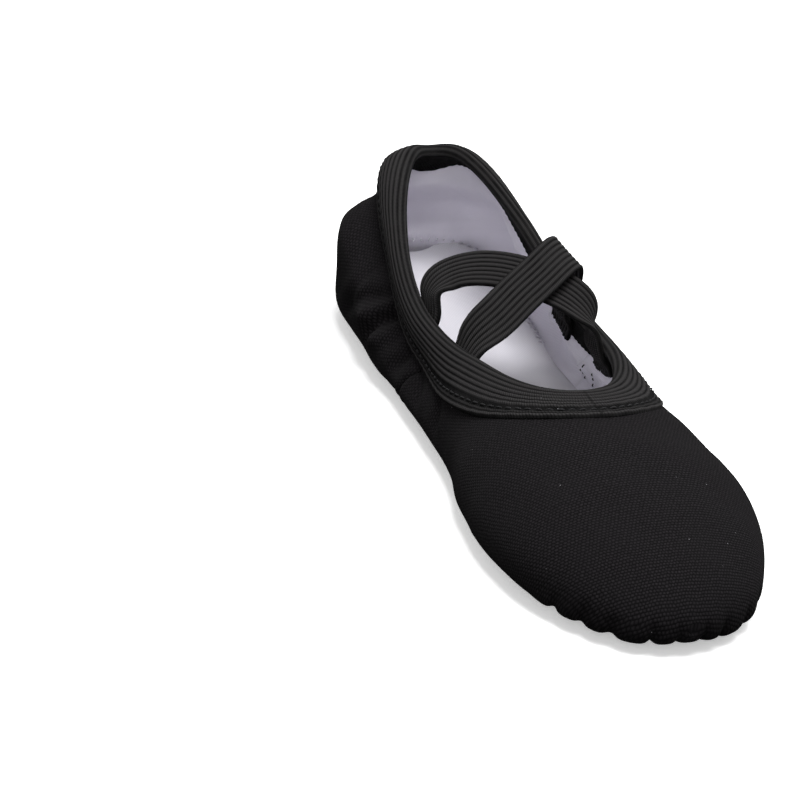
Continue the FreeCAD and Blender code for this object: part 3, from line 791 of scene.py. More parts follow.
def build_strap(name, right_station, left_station, rise, seed):
    """Ribbed band from tab to tab: down the right wall, over the foot and down the left wall."""
    right = wall_points(right_station, -1, [0, STRAP_TAB / 2, STRAP_TAB], STRAP_DEPTH)
    left = wall_points(left_station, 1, [0, STRAP_TAB / 2, STRAP_TAB], STRAP_DEPTH)
    start, end = right[0], left[0]
    arch = [start + (end - start) * share + np.array([lean, 0, height]) for share, lean, height in rise]
    centres, along, run = spline([*right[::-1], *arch, *left], int(240 * COARSE))
    share = np.linspace(0, 1, len(centres))[:, None]
    chord = end - start
    middle = unit(np.array([[chord[1], -chord[0], -STRAP_TILT * math.hypot(chord[0], chord[1])]]))
    mix = fade(share, 0.06, 0.26) * (1 - fade(share, 0.72, 0.92))
    across = np.array([[1.0, 0.0, 0.0]]) * (1 - mix) + middle * mix
    across = unit(across - along * (across * along).sum(-1, keepdims=True))
    up = np.cross(along, across)
    level = np.linspace(-1, 1, STRAP_COLUMNS)
    u = np.concatenate([level, [1.0], np.linspace(1, -1, STRAP_COLUMNS), [-1.0]])
    face = np.concatenate([np.ones(STRAP_COLUMNS), [0.0], -np.ones(STRAP_COLUMNS), [0.0]])
    ribs = STRAP_RIB_HEIGHT * np.abs(np.sin(np.pi * (u + 1) / 2 * STRAP_RIBS)) ** 0.6
    edge = np.sqrt(np.clip(1 - np.abs(u) ** 24, 0, 1))
    height = face * (STRAP_THICKNESS / 2 * (0.55 + 0.45 * edge) + ribs * edge)
    reach = np.where(face == 0, u * 1.02, u) * STRAP_WIDTH / 2
    curl = 0.35 * wobble(centres, 30, seed)[:, None] * (u[None, :] ** 2 - 0.3)
    pinch = 1 - 0.05 * np.exp(-((share - 0.1) / 0.07) ** 2)
    ragged = np.zeros((len(centres), len(u)))
    source = np.random.default_rng(seed)
    fray = np.interp(np.abs(level), np.linspace(0, 1, 30), source.uniform(-0.5, 0.5, 30))
    fray = np.concatenate([fray, fray[-1:], fray[::-1], fray[:1]])
    ragged[0], ragged[-1] = fray, -fray
    rib_mark = np.broadcast_to((ribs / STRAP_RIB_HEIGHT)[None, :], (len(centres), len(u)))
    sections = (centres[:, None, :] + across[:, None, :] * (reach[None, :] * pinch)[..., None]
                + up[:, None, :] * (height[None, :] + curl)[..., None]
                + along[:, None, :] * ragged[..., None])
    uv = np.stack(np.broadcast_arrays(run[:, None], (reach + 20 * (face < 0))[None, :]), -1)
    return make_tube(name, sections, False, uv, {"rib": rib_mark})


# share of the way from the right wall to the left, lean towards the toe, and height above the ends
OVER_RISE = [(0.07, 1.0, 5.2), (0.23, 3.5, 10.8), (0.43, 4.8, 15.8), (0.63, 6.0, 20.0), (0.84, 6.0, 23.0),
             (0.96, 2.5, 16.0)]
UNDER_RISE = [(0.04, -3.5, 6.0), (0.18, -8.5, 11.5), (0.36, -9.0, 15.0), (0.55, -8.0, 16.0),
              (0.72, -5.0, 15.5), (0.86, -2.0, 13.5), (0.96, -1.0, 8.0)]


# ---- egg-shaped suede patches and foam pads ----

FORE_EGG = {"front": 163.0, "rear": 141.0, "front_arc": 28.0, "rear_arc": 20.0, "side_arc": 60.0}
HEEL_EGG = {"front": 40.0, "rear": 26.0, "front_arc": 12.0, "rear_arc": 19.0, "side_arc": 45.0}
PATCH_TOP = 1.62
OUTER_ROW, INNER_ROW = 3.0, 7.0
GROOVE_DEPTH = 0.5


def egg_middle(egg):
    return np.array([(egg["front"] + egg["rear"]) / 2, 0.0])


def egg_reach(egg):
    """Mean of the egg's two end radii: the inset at which its rings close up."""
    return (egg["front_arc"] + egg["rear_arc"]) / 2


def egg_outline(egg, inset, spacing=0.5):
    """Evenly spaced points round an egg made of four tangent arcs, from its front."""
    front, rear, side = egg["front_arc"], egg["rear_arc"], egg["side_arc"]
    apart = egg["front"] - egg["rear"]
    along = ((side - rear) ** 2 - (side - front) ** 2 + apart ** 2) / (2 * apart)
    below = math.sqrt((side - rear) ** 2 - along ** 2)
    side_x = egg["rear"] + along
    at_front, at_rear = math.atan2(below, egg["front"] - side_x), math.atan2(below, egg["rear"] - side_x)
    arcs = [
        (egg["front"], 0.0, front, 0.0, at_front), (side_x, -below, side, at_front, at_rear),
        (egg["rear"], 0.0, rear, at_rear, 2 * math.pi - at_rear),
        (side_x, below, side, 2 * math.pi - at_rear, 2 * math.pi - at_front),
        (egg["front"], 0.0, front, 2 * math.pi - at_front, 2 * math.pi),
    ]
    points = []
    for x, y, radius, begin, finish in arcs:
        count = max(int(radius * abs(finish - begin) / spacing), 2)
        angle = np.linspace(begin, finish, count, endpoint=False)
        reach = radius - inset
        points.append(np.stack([x + reach * np.cos(angle), y + reach * np.sin(angle)], -1))
    return np.concatenate(points)


def egg_rings(egg, insets, core=11.0):
    """Rings of an egg at several insets; past the core inset they shrink towards the middle."""
    middle, centre_ring = egg_middle(egg), egg_outline(egg, core)
    rings = []
    for inset in insets:
        if inset <= core:
            rings.append(egg_outline(egg, inset))
        else:
            share = max(1 - (inset - core) / (egg_reach(egg) - core), 0.002)
            rings.append(middle + (centre_ring - middle) * share)
    return rings


def build_patch(name, egg, seed):
    """Suede patch: flat underneath with two sunk stitch rows, and a raw raised edge."""
    reach = egg_reach(egg)
    insets = np.concatenate([np.linspace(0, 9, 60), np.linspace(9.5, reach, 12)])
    rings = egg_rings(egg, insets)
    around = len(rings[0])
    turn = np.arange(around) / around
    length = np.linalg.norm(np.roll(rings[0], -1, 0) - rings[0], axis=-1).sum()
    pitch_turns = round(length / 3.0)
    sections, depth = [], []
    for inset, ring in zip(insets, rings):
        p = np.concatenate([ring, np.zeros((around, 1))], 1)
        puff = 0.10 + 0.06 * wobble(p, 9, seed) + 0.05 * wobble(p, 26, seed + 1)
        dimple = 0.75 + 0.25 * np.cos(2 * np.pi * turn * pitch_turns)
        groove = sum(GROOVE_DEPTH * np.exp(-((inset - row) / 0.55) ** 2) * dimple
                     for row in (OUTER_ROW, INNER_ROW))
        round_edge = 0.45 * math.exp(-inset / 0.35)
        p[:, 2] = np.maximum(0.04 + puff + groove + round_edge, 0.0)
        if inset == 0:
            fray = 0.25 * wobble(p, 5, seed + 2)
            p[:, :2] += unit(ring - egg_middle(egg)) * fray[:, None]
        sections.append(p)
        depth.append(np.full(around, inset))
    top = [np.concatenate([ring, np.full((around, 1), PATCH_TOP)], 1)
           for ring in egg_rings(egg, [0.0, 4.0, 11.0, reach])]
    sections = top[::-1] + sections
    depth = [np.full(around, 0.0)] * len(top) + depth
    return make_disc(name, sections, {"inset": np.concatenate(depth)})


PAD_LEVEL = 3.61
PAD_THICKNESS = 1.8
INSOLE_LEVEL = 5.49
INSOLE_THICKNESS = 0.8
INSOLE_COLUMNS = 61
CAVITY_INSET = 1.66


def build_pad(name, egg, seed):
    """Foam pad under the insole, crowned on both faces and pinched at its edge."""
    insets = np.concatenate([np.linspace(0.6, 5, 12), np.linspace(6, egg_reach(egg), 14)])
    rings = egg_rings(egg, insets)
    around = len(rings[0])
    sections = []
    for side in (1, -1):
        rows = []
        for inset, ring in zip(insets, rings):
            p = np.concatenate([ring, np.zeros((around, 1))], 1)
            crown = math.sqrt(1 - (1 - min((inset - 0.6) / 4.0, 1.0)) ** 2)
            bulge = PAD_THICKNESS / 2 * (0.25 + 0.7 * crown) + 0.04 * wobble(p, 12, seed) * crown
            p[:, 2] = PAD_LEVEL + PAD_THICKNESS / 2 + side * bulge
            rows.append(p)
        sections += rows[::-1] if side > 0 else rows
    return make_disc(name, sections)


def wall_reach(stations, height):
    """Half-widths of the form at a height, for an array of stations."""
    near, far = np.zeros_like(stations), np.full_like(stations, 60.0)
    for _ in range(30):
        middle = (near + far) / 2
        outside = form_value(np.stack([stations, middle, height + np.zeros_like(stations)], -1)) > 0
        near, far = np.where(outside, near, middle), np.where(outside, middle, far)
    return near


def floor_outline(stations, height, inset):
    """Half-widths of the inside of the shoe at a height, an inset away from the form."""
    reach = wall_reach(stations, height)
    slope = np.gradient(reach, stations)
    return np.maximum(reach - inset * np.sqrt(1 + slope ** 2), 0.15)


def insole_rise(x, share):
    """The insole's heel end curls up the back of the shoe."""
    return 9.0 * (1 - fade(x, 5, 42)) + 4.0 * np.abs(share) ** 3 * (1 - fade(x, 28, 72))


def build_insole():
    """Insole cloth that fills the floor of the shoe, crowned over the pads."""
    ends = 4.6
    angle = np.linspace(0, np.pi, int(220 * COARSE))
    stations = LENGTH / 2 - (LENGTH / 2 - ends) * np.cos(angle)
    half = floor_outline(stations, INSOLE_LEVEL + 0.3 + insole_rise(stations, 1.0), CAVITY_INSET + 1.5)
    share = np.sin(np.linspace(-np.pi / 2, np.pi / 2, INSOLE_COLUMNS))
    shares = np.concatenate([share, share[::-1]])
    top = np.concatenate([np.ones(INSOLE_COLUMNS), np.zeros(INSOLE_COLUMNS)])
    x = np.broadcast_to(stations[:, None], (len(stations), len(shares)))
    y = half[:, None] * shares[None, :]
    p = np.stack([x, y, np.zeros_like(x)], -1)
    edge = np.sqrt(np.clip(1 - np.abs(shares) ** 16, 0, 1))[None, :]
    pad = 0.35 * (fade(x, 108, 126) * (1 - fade(x, 186, 200)) + fade(x, 8, 20) * (1 - fade(x, 46, 60)))
    soft = 0.22 * wobble(p, 34, 41) + 0.10 * wobble(p, 13, 42)
    rise = INSOLE_THICKNESS * (0.35 + 0.65 * edge) * top[None, :]
    crown = pad * (1 - np.abs(shares) ** 4)[None, :]
    p[..., 2] = INSOLE_LEVEL + rise + (crown + soft * edge) * (0.4 + 0.6 * top[None, :])
    p[..., 2] += insole_rise(x, shares[None, :])
    return make_tube("insole_cloth", p, False, np.stack([y, x], -1))


# ---- stitching ----

THREAD_RADIUS = 0.24
STITCH_LENGTH = 2.1
STITCH_PITCH = 3.0


def stitch_points(points, closed=False, pitch_share=1.0):
    """Starts and ends of stitches laid along a dense run of points."""
    points = np.concatenate([points, points[:1]]) if closed else np.asarray(points)
    run = run_along(points)
    count = int(run[-1] / (STITCH_PITCH * pitch_share))
    centres = (np.arange(count) + 0.5) * run[-1] / count
    half = STITCH_LENGTH * pitch_share / 2
    ends = [np.stack([np.interp(centres + shift, run, points[:, axis]) for axis in range(3)], -1)
            for shift in (-half, half)]
    return list(zip(*ends))


def build_threads(name, pairs, up, seed, bow=0.25, radius=THREAD_RADIUS, blunt=0.9):
    """Stitches as separate rounded threads; up is the way each one stands proud."""
    source = np.random.default_rng(seed)
    angle = np.linspace(0, 2 * np.pi, 10, endpoint=False)
    share = np.array([0.0, 0.04, 0.14, 0.3, 0.5, 0.7, 0.86, 0.96, 1.0])
    width = np.array([0.25, 0.62, 0.9, 1.0, 1.04, 1.0, 0.9, 0.62, 0.25])
    points, faces, uv = [], [], []
    for index, (start, finish) in enumerate(pairs):
        lift = np.asarray(up[index] if len(np.shape(up)) == 2 else up, float)
        jitter = source.normal(size=3) * 0.05
        start, finish = start + jitter, finish - jitter
        along = finish - start
        length = np.linalg.norm(along)
        along = along / length
        side = np.cross(along, lift)
        side /= np.linalg.norm(side)
        lift = np.cross(side, along)
        thick = radius * source.uniform(0.9, 1.08)
        arc = bow * (np.sin(np.pi * share) - 0.55)
        rings = start + along * (share * length)[:, None] + lift * arc[:, None]
        ring = (side * np.cos(angle)[:, None] + lift * (blunt * np.sin(angle))[:, None]) * thick
        base = index * len(share) * len(angle)
        tube = rings[:, None, :] + ring[None, :, :] * width[:, None, None]
        points.append(tube.reshape(-1, 3))
        faces += capped_faces(len(share), len(angle), base)
        across = np.broadcast_to(angle[None, :] * thick, tube.shape[:2])
        down = np.broadcast_to((share * length + 7.3 * index)[:, None], tube.shape[:2])
        uv.append(np.stack([across, down], -1).reshape(-1, 2))
    return make_object(name, np.concatenate(points), faces, np.concatenate(uv))


def patch_threads(name, egg, row, seed):
    outline = egg_outline(egg, row, 0.25)
    outline = np.concatenate([outline, np.full((len(outline), 1), 0.36)], 1)
    return build_threads(name, stitch_points(outline, True), (0.0, 0.0, -1.0), seed, bow=0.16)


def binding_threads():
    row, *_ = band_rows(even_turns(700))
    pairs = stitch_points(row(BINDING_OUT - 3.0, BINDING_FACE + 0.25), True)
    up = form_normal(np.array([(start + finish) / 2 for start, finish in pairs]))
    return build_threads("binding_edge_threads", pairs, up, 51, bow=0.3)


def side_seam_threads(name, side, seed):
    """Two dotted rows up the inside of one wall, ahead of the side seam."""
    pairs, ups = [], []
    for ahead in (1.5, 7.0):
        height = np.linspace(INSOLE_LEVEL + 3.0, 17.0, 60)
        x = SEAM_SOLE + seam_lean(height) + ahead
        surface = np.stack([x, side * wall_reach(x, height), height], -1)
        _, depth = lining_offsets(surface, np.full_like(x, 30.0))
        row = stitch_points(surface + form_normal(surface) * (depth - 0.12)[:, None], pitch_share=0.8)
        pairs += row
        ups += [-form_normal(((start + finish) / 2)[None, :])[0] for start, finish in row]
    return build_threads(name, pairs, np.array(ups), seed, bow=0.3, radius=0.2)


def arch_seam_threads():
    rear, front = HEEL_EGG["front"] + HEEL_EGG["front_arc"] + 2, FORE_EGG["rear"] - FORE_EGG["rear_arc"] - 2
    x = np.linspace(rear, front, 120)
    row = np.stack([x, np.zeros_like(x), np.full_like(x, SOLE_LEVEL - 0.3)], -1)
    return build_threads("arch_seam_threads", stitch_points(row), (0.0, 0.0, -1.0), 61, bow=0.2)


def insole_edge_threads():
    """Overcast stitches that scallop the edge of the insole round the heel."""
    stations = 4.8 + 52 * np.linspace(0, 1, 140) ** 2
    rise = insole_rise(stations, 1.0)
    half = floor_outline(stations, INSOLE_LEVEL + 0.3 + rise, CAVITY_INSET + 1.7)
    left = np.stack([stations, half, INSOLE_LEVEL + INSOLE_THICKNESS + 0.1 + rise], -1)
    rim = np.concatenate([left[::-1], left[1:] * np.array([1, -1, 1])])
    run = run_along(rim)
    count = int(run[-1] / 2.6)
    at = (np.arange(count) + 0.5) * run[-1] / count
    middle, ahead = (np.stack([np.interp(at + shift, run, rim[:, k]) for k in range(3)], -1)
                     for shift in (0, 0.3))
    inward = unit(np.cross(ahead - middle, np.array([0.0, 0.0, 1.0])))
    inward *= np.sign((inward * (np.array([36.0, 0.0, 0.0]) - middle))[:, :2].sum(-1))[:, None]
    slant = unit(ahead - middle) * 0.5
    pairs = list(zip(middle - inward * 0.5 - slant, middle + inward * 1.1 + slant))
    return build_threads("insole_edge_threads", pairs, (0.0, 0.0, 1.0), 71, bow=0.35, radius=0.3)


def tack_threads(name, ends, seed):
    """Two rows across each strap end, on its inner face."""
    depth = STRAP_DEPTH - STRAP_THICKNESS / 2 - 0.42
    half = STRAP_WIDTH / 2 - 1.5
    pairs, ups = [], []
    for station, side in ends:
        offsets = np.linspace(-half, half, 25)
        columns = np.stack([wall_points(station + offset, side, [2.5, 6.5], depth) for offset in offsets])
        for row in range(2):
            found = stitch_points(columns[:, row], pitch_share=0.8)
            pairs += found
            ups += [-form_normal(((a + b) / 2)[None, :])[0] for a, b in found]
    return build_threads(name, pairs, np.array(ups), seed, bow=0.25)


# ---- materials: procedural cloth, worked out from the cloth coordinates in millimetres ----

class Weave:
    """Short ways to add nodes to one material."""

    def __init__(self, name, colour, roughness, sheen=0.0, sheen_roughness=0.5, specular=0.3):
        self.material = bpy.data.materials.new(name)
        self.material.use_nodes = True
        self.tree = self.material.node_tree
        self.shader = self.tree.nodes["Principled BSDF"]
        self.shader.inputs["Base Color"].default_value = (*colour, 1.0)
        self.shader.inputs["Roughness"].default_value = roughness
        self.shader.inputs["Sheen Weight"].default_value = sheen
        self.shader.inputs["Sheen Roughness"].default_value = sheen_roughness
        self.shader.inputs["Specular IOR Level"].default_value = specular
        place = self.tree.nodes.new("ShaderNodeUVMap")
        place.uv_map = "cloth"
        self.place = place.outputs["UV"]

    def fill(self, socket, value):
        if isinstance(value, (int, float)):
            socket.default_value = value
        elif isinstance(value, tuple):
            socket.default_value = (*value, 1.0)
        else:
            self.tree.links.new(value, socket)

    def maths(self, operation, first, second=0.0):
        node = self.tree.nodes.new("ShaderNodeMath")
        node.operation = operation
        self.fill(node.inputs[0], first)
        self.fill(node.inputs[1], second)
        return node.outputs[0]

    def times(self, first, second):
        return self.maths("MULTIPLY", first, second)

    def plus(self, first, second):
        return self.maths("ADD", first, second)

    def split(self, vector):
        node = self.tree.nodes.new("ShaderNodeSeparateXYZ")
        self.fill(node.inputs[0], vector)
        return node.outputs[0], node.outputs[1]

    def noise(self, scale, detail=2.0, roughness=0.5, vector=None):
        node = self.tree.nodes.new("ShaderNodeTexNoise")
        self.fill(node.inputs["Vector"], vector or self.place)
        self.fill(node.inputs["Scale"], scale)
        self.fill(node.inputs["Detail"], detail)
        self.fill(node.inputs["Roughness"], roughness)
        return node.outputs["Fac"]

    def stretched(self, u_scale, v_scale):
        node = self.tree.nodes.new("ShaderNodeMapping")
        self.fill(node.inputs["Vector"], self.place)
        node.inputs["Scale"].default_value = (u_scale, v_scale, 1.0)
        return node.outputs["Vector"]

    def specks(self, scale, size, share):
        """1 in small round specks, one in each chosen cell."""
        node = self.tree.nodes.new("ShaderNodeTexVoronoi")
        self.fill(node.inputs["Vector"], self.place)
        self.fill(node.inputs["Scale"], scale)
        near = self.maths("LESS_THAN", node.outputs["Distance"], size)
        chosen, _ = self.split(node.outputs["Color"])
        return self.times(near, self.maths("LESS_THAN", chosen, share))

    def mark(self, name):
        node = self.tree.nodes.new("ShaderNodeAttribute")
        node.attribute_name = name
        return node.outputs["Fac"]

    def between(self, value, low, high, out_low=0.0, out_high=1.0):
        node = self.tree.nodes.new("ShaderNodeMapRange")
        self.fill(node.inputs["Value"], value)
        limits = {"From Min": low, "From Max": high, "To Min": out_low, "To Max": out_high}
        for socket, number in limits.items():
            self.fill(node.inputs[socket], number)
        return node.outputs["Result"]

    def mix(self, share, first, second):
        node = self.tree.nodes.new("ShaderNodeMix")
        node.data_type = "RGBA"
        self.fill(node.inputs[0], share)
        self.fill(node.inputs[6], first)
        self.fill(node.inputs[7], second)
        return node.outputs[2]

    def wave(self, value, pitch, power=1.0):
        """Rounded ridges of a pitch in millimetres: 0 in the grooves and 1 on the crests."""
        ridge = self.maths("ABSOLUTE", self.maths("SINE", self.times(value, math.pi / pitch)))
        return self.maths("POWER", ridge, power)

    def colour(self, value):
        self.fill(self.shader.inputs["Base Color"], value)

    def rough(self, value):
        self.fill(self.shader.inputs["Roughness"], value)

    def bump(self, height, depth, strength=1.0, under=None):
        """Bump of a depth in millimetres."""
        node = self.tree.nodes.new("ShaderNodeBump")
        self.fill(node.inputs["Height"], height)
        node.inputs["Distance"].default_value = depth * MM
        node.inputs["Strength"].default_value = strength
        if under is not None:
            self.fill(node.inputs["Normal"], under)
        self.fill(self.shader.inputs["Normal"], node.outputs["Normal"])
        return node.outputs["Normal"]


def black_canvas():
    cloth = Weave("black_canvas", (0.012, 0.011, 0.013), 0.9,
                  sheen=0.01, sheen_roughness=0.5, specular=0.05)
    u, v = cloth.split(cloth.place)
    drift = cloth.noise(0.22, 3.0, 0.6)
    v_soft = cloth.plus(v, cloth.times(drift, 1.1))
    row = cloth.maths("FLOOR", cloth.maths("DIVIDE", v_soft, 0.9))
    stagger = cloth.plus(u, cloth.times(row, 0.55))
    u_soft = cloth.plus(stagger, cloth.times(cloth.noise(0.5, 2.0), 0.8))
    bead = cloth.times(cloth.wave(u_soft, 1.1, 0.7), cloth.wave(v_soft, 0.9, 0.8))
    uneven = cloth.noise(0.9, 2.0, 0.6)
    # painted shade and highlight: the colour is darker in the gaps between the weave's beads and lighter on
    # their tops
    painted_light = cloth.times(bead, cloth.between(uneven, 0.3, 0.7, 0.45, 1.15))
    shade = cloth.mix(painted_light, (0.0012, 0.0010, 0.0012), (0.0160, 0.0142, 0.0158))
    cloudy = cloth.between(cloth.noise(0.06, 4.0, 0.6), 0.3, 0.7, 0.0, 0.4)
    shade = cloth.mix(cloudy, shade, (0.0080, 0.0074, 0.0082))
    lint = cloth.specks(0.22, 0.036, 0.22)
    cloth.colour(cloth.mix(lint, shade, (0.16, 0.155, 0.165)))
    cloth.rough(cloth.between(bead, 0, 1, 0.96, 0.78))
    fibres = cloth.bump(cloth.noise(5.0, 3.0, 0.7), 0.05, 0.5)
    cloth.bump(bead, 0.20, 0.85, fibres)
    return cloth.material


def white_lining():
    cloth = Weave("white_lining", (0.72, 0.69, 0.80), 0.5, sheen=0.25, sheen_roughness=0.4, specular=0.35)
    u, v = cloth.split(cloth.place)
    slant = cloth.plus(cloth.plus(u, v), cloth.times(cloth.noise(0.8), 0.25))
    twill = cloth.wave(slant, 0.62, 0.8)
    thread = cloth.wave(cloth.maths("SUBTRACT", v, u), 0.45, 0.8)
    weave = cloth.times(twill, cloth.between(thread, 0, 1, 0.6, 1.0))
    # painted shade and highlight: the colour is darker in the twill's grooves and lighter on its raised
    # threads
    shade = cloth.mix(weave, (0.72, 0.69, 0.79), (0.90, 0.875, 0.95))
    soft = cloth.between(cloth.noise(0.08, 3.0), 0.35, 0.7, 0.0, 0.45)
    shade = cloth.mix(soft, shade, (0.78, 0.76, 0.85))
    fluff = cloth.specks(0.3, 0.06, 0.12)
    cloth.colour(cloth.mix(fluff, shade, (0.72, 0.70, 0.78)))
    cloth.rough(cloth.between(weave, 0, 1, 0.62, 0.42))
    folds = cloth.bump(cloth.noise(0.16, 2.0), 0.6, 0.6)
    cloth.bump(weave, 0.07, 0.8, folds)
    return cloth.material


def elastic(name, crest, groove, pitch):
    """Ribbed elastic: thread beads along each rib, with painted shade in the grooves between the ribs and
    painted light on the crests.
    """
    cloth = Weave(name, crest, 0.8, sheen=0.015, sheen_roughness=0.5, specular=0.06)
    run, across = cloth.split(cloth.place)
    rib = cloth.mark("rib")
    skew = cloth.plus(run, cloth.times(across, 0.35))
    skew = cloth.plus(skew, cloth.times(cloth.noise(0.9), 0.3))
    bead = cloth.wave(skew, pitch, 0.7)
    strand = cloth.wave(across, 0.42, 0.7)
    height = cloth.times(bead, cloth.between(strand, 0, 1, 0.55, 1.0))
    # painted shade and highlight: near-black colour in the grooves between ribs and beads, lighter colour
    # on the crests
    painted_light = cloth.times(cloth.maths("POWER", rib, 2.2), cloth.between(height, 0, 1, 0.35, 1.2))
    shade = cloth.mix(painted_light, groove, crest)
    worn = cloth.between(cloth.noise(0.18, 3.0, 0.6), 0.35, 0.7, 0.0, 0.35)
    shade = cloth.mix(worn, shade, tuple(0.75 * part for part in crest))
    lint = cloth.specks(0.3, 0.05, 0.15)
    cloth.colour(cloth.mix(lint, shade, (0.13, 0.13, 0.14)))
    cloth.rough(cloth.between(painted_light, 0, 1, 0.95, 0.7))
    cloth.bump(height, 0.22, 1.0)
    return cloth.material


def black_suede():
    cloth = Weave("black_suede", (0.020, 0.019, 0.020), 0.95,
                  sheen=0.03, sheen_roughness=0.4, specular=0.05)
    nap = cloth.noise(2.6, 5.0, 0.75)
    brushed = cloth.noise(0.35, 4.0, 0.65, cloth.stretched(1.0, 2.4))
    shade = cloth.mix(cloth.between(nap, 0.35, 0.68), (0.013, 0.012, 0.013), (0.036, 0.033, 0.036))
    shade = cloth.mix(cloth.between(brushed, 0.42, 0.66, 0.0, 0.55), shade, (0.040, 0.037, 0.040))
    scuffed = cloth.between(cloth.noise(0.09, 3.0, 0.6), 0.55, 0.72, 0.0, 0.35)
    shade = cloth.mix(scuffed, shade, (0.055, 0.051, 0.052))
    raw_edge = cloth.between(cloth.mark("inset"), 0.1, 0.85, 0.85, 0.0)
    cloth.colour(cloth.mix(raw_edge, shade, (0.085, 0.080, 0.083)))
    cloth.rough(cloth.between(nap, 0.3, 0.7, 0.98, 0.84))
    grain = cloth.bump(cloth.noise(0.9, 4.0, 0.7), 0.18, 0.7)
    cloth.bump(nap, 0.10, 0.9, grain)
    return cloth.material


def foam():
    cloth = Weave("foam", (0.70, 0.64, 0.46), 0.9, specular=0.2)
    cells = cloth.noise(2.2, 3.0, 0.7)
    shade = cloth.mix(cloth.between(cells, 0.4, 0.62), (0.52, 0.46, 0.30), (0.76, 0.70, 0.52))
    cloth.colour(shade)
    cloth.bump(cells, 0.25, 0.9)
    return cloth.material


def insole_cloth():
    cloth = Weave("insole_cloth", (0.62, 0.61, 0.66), 0.8, sheen=0.3, sheen_roughness=0.5, specular=0.25)
    u, v = cloth.split(cloth.place)
    warp, weft = cloth.wave(u, 0.5, 0.8), cloth.wave(v, 0.5, 0.8)
    weave = cloth.times(warp, weft)
    # painted shade and highlight: the colour is darker in the gaps of the weave and lighter where the
    # threads cross
    shade = cloth.mix(weave, (0.46, 0.45, 0.49), (0.62, 0.61, 0.65))
    worn = cloth.between(cloth.noise(0.05, 4.0, 0.6), 0.45, 0.7, 0.0, 0.5)
    cloth.colour(cloth.mix(worn, shade, (0.55, 0.53, 0.56)))
    cloth.rough(cloth.between(weave, 0, 1, 0.9, 0.72))
    dents = cloth.bump(cloth.noise(0.12, 3.0), 0.9, 0.5)
    cloth.bump(weave, 0.07, 0.8, dents)
    return cloth.material


def thread_material(name, light, painted_ply_shade):
    """Two-ply thread: slanted plies along its length."""
    cloth = Weave(name, light, 0.62, sheen=0.04, sheen_roughness=0.4, specular=0.2)
    around, along = cloth.split(cloth.place)
    ply = cloth.wave(cloth.plus(along, cloth.times(around, 0.8)), 0.42, 0.8)
    tint = cloth.between(cloth.noise(1.5, 2.0), 0.35, 0.65, 0.0, 0.35)
    # painted shade and highlight: the colour is darker between the thread's plies and lighter on them
    shade = cloth.mix(ply, painted_ply_shade, light)
    cloth.colour(cloth.mix(tint, shade, tuple(0.8 * part for part in light)))
    cloth.rough(cloth.between(ply, 0, 1, 0.8, 0.55))
    cloth.bump(ply, 0.10, 0.8)
    return cloth.material


MATERIALS = {
    "black_canvas": black_canvas(),
    "white_lining": white_lining(),
    # each elastic's second colour is painted shade for the grooves between its ribs
    "ribbed_elastic": elastic("ribbed_elastic", (0.030, 0.0285, 0.0290), (0.0008, 0.0008, 0.0009), 0.55),
    "strap_elastic": elastic("strap_elastic", (0.032, 0.0305, 0.0310), (0.0008, 0.0008, 0.0009), 0.5),
    "black_suede": black_suede(),
    "foam": foam(),
    "insole_cloth": insole_cloth(),
    # each thread's second colour is painted shade between its plies
    "black_thread": thread_material("black_thread", (0.014, 0.0135, 0.015), (0.003, 0.003, 0.0035)),
    "white_thread": thread_material("white_thread", (0.66, 0.64, 0.70), (0.42, 0.40, 0.46)),
}


# ---- the pieces, and the bodies they move with ----

JOINTS = {joint["name"]: joint for joint in frame["joints"]}
BEND_DIRECTION = np.array([0.872, 0.0, 0.49])
BEND_HALF = 0.025


def finish_piece(obj, node, slot):
    obj.data.materials.append(MATERIALS[slot])
    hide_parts(node)
    return obj


def across_arch(obj, node, slot):
    """A piece across the arch, between the heel and the forefoot: given its material, its CAD part hidden
    and its transform baked; the bend's ends are worked out but not used.
    """
    finish_piece(obj, node, slot)
    hinge = np.array(JOINTS["arch_flex"]["pos_m"])
    start, end = hinge - BEND_DIRECTION * BEND_HALF, hinge + BEND_DIRECTION * BEND_HALF
    tuple(start)
    tuple(end)
    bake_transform(obj)


def riding(obj, node, slot, body):
    """A stiff piece that moves with one body."""
    finish_piece(obj, node, slot)
    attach(obj, body)


def strap_piece(obj, node, joint):
    """A strap with sewn ends: given its material, its CAD part hidden and its transform baked; its joint's
    position is read but not used.
    """
    finish_piece(obj, node, "strap_elastic")
    x, y, _ = JOINTS[joint]["pos_m"]
    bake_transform(obj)


QUARTER_TURN = np.pi / 2
across_arch(build_canvas("vamp_canvas_cloth", -QUARTER_TURN, QUARTER_TURN,
                         int(470 * COARSE), int(250 * COARSE), 0.5),
            "vamp_canvas", "black_canvas")
across_arch(build_canvas("quarter_canvas_cloth", QUARTER_TURN, 3 * QUARTER_TURN,
                         int(260 * COARSE), int(150 * COARSE)),
            "quarter_canvas", "black_canvas")
across_arch(build_lining("vamp_lining_cloth", -QUARTER_TURN, QUARTER_TURN,
                         int(240 * COARSE), int(130 * COARSE)),
            "vamp_lining", "white_lining")
across_arch(build_lining("quarter_lining_cloth", QUARTER_TURN, 3 * QUARTER_TURN,
                         int(200 * COARSE), int(110 * COARSE)),
            "quarter_lining", "white_lining")
across_arch(build_binding(), "topline_binding", "ribbed_elastic")
across_arch(binding_threads(), "binding_edge_stitching", "black_thread")

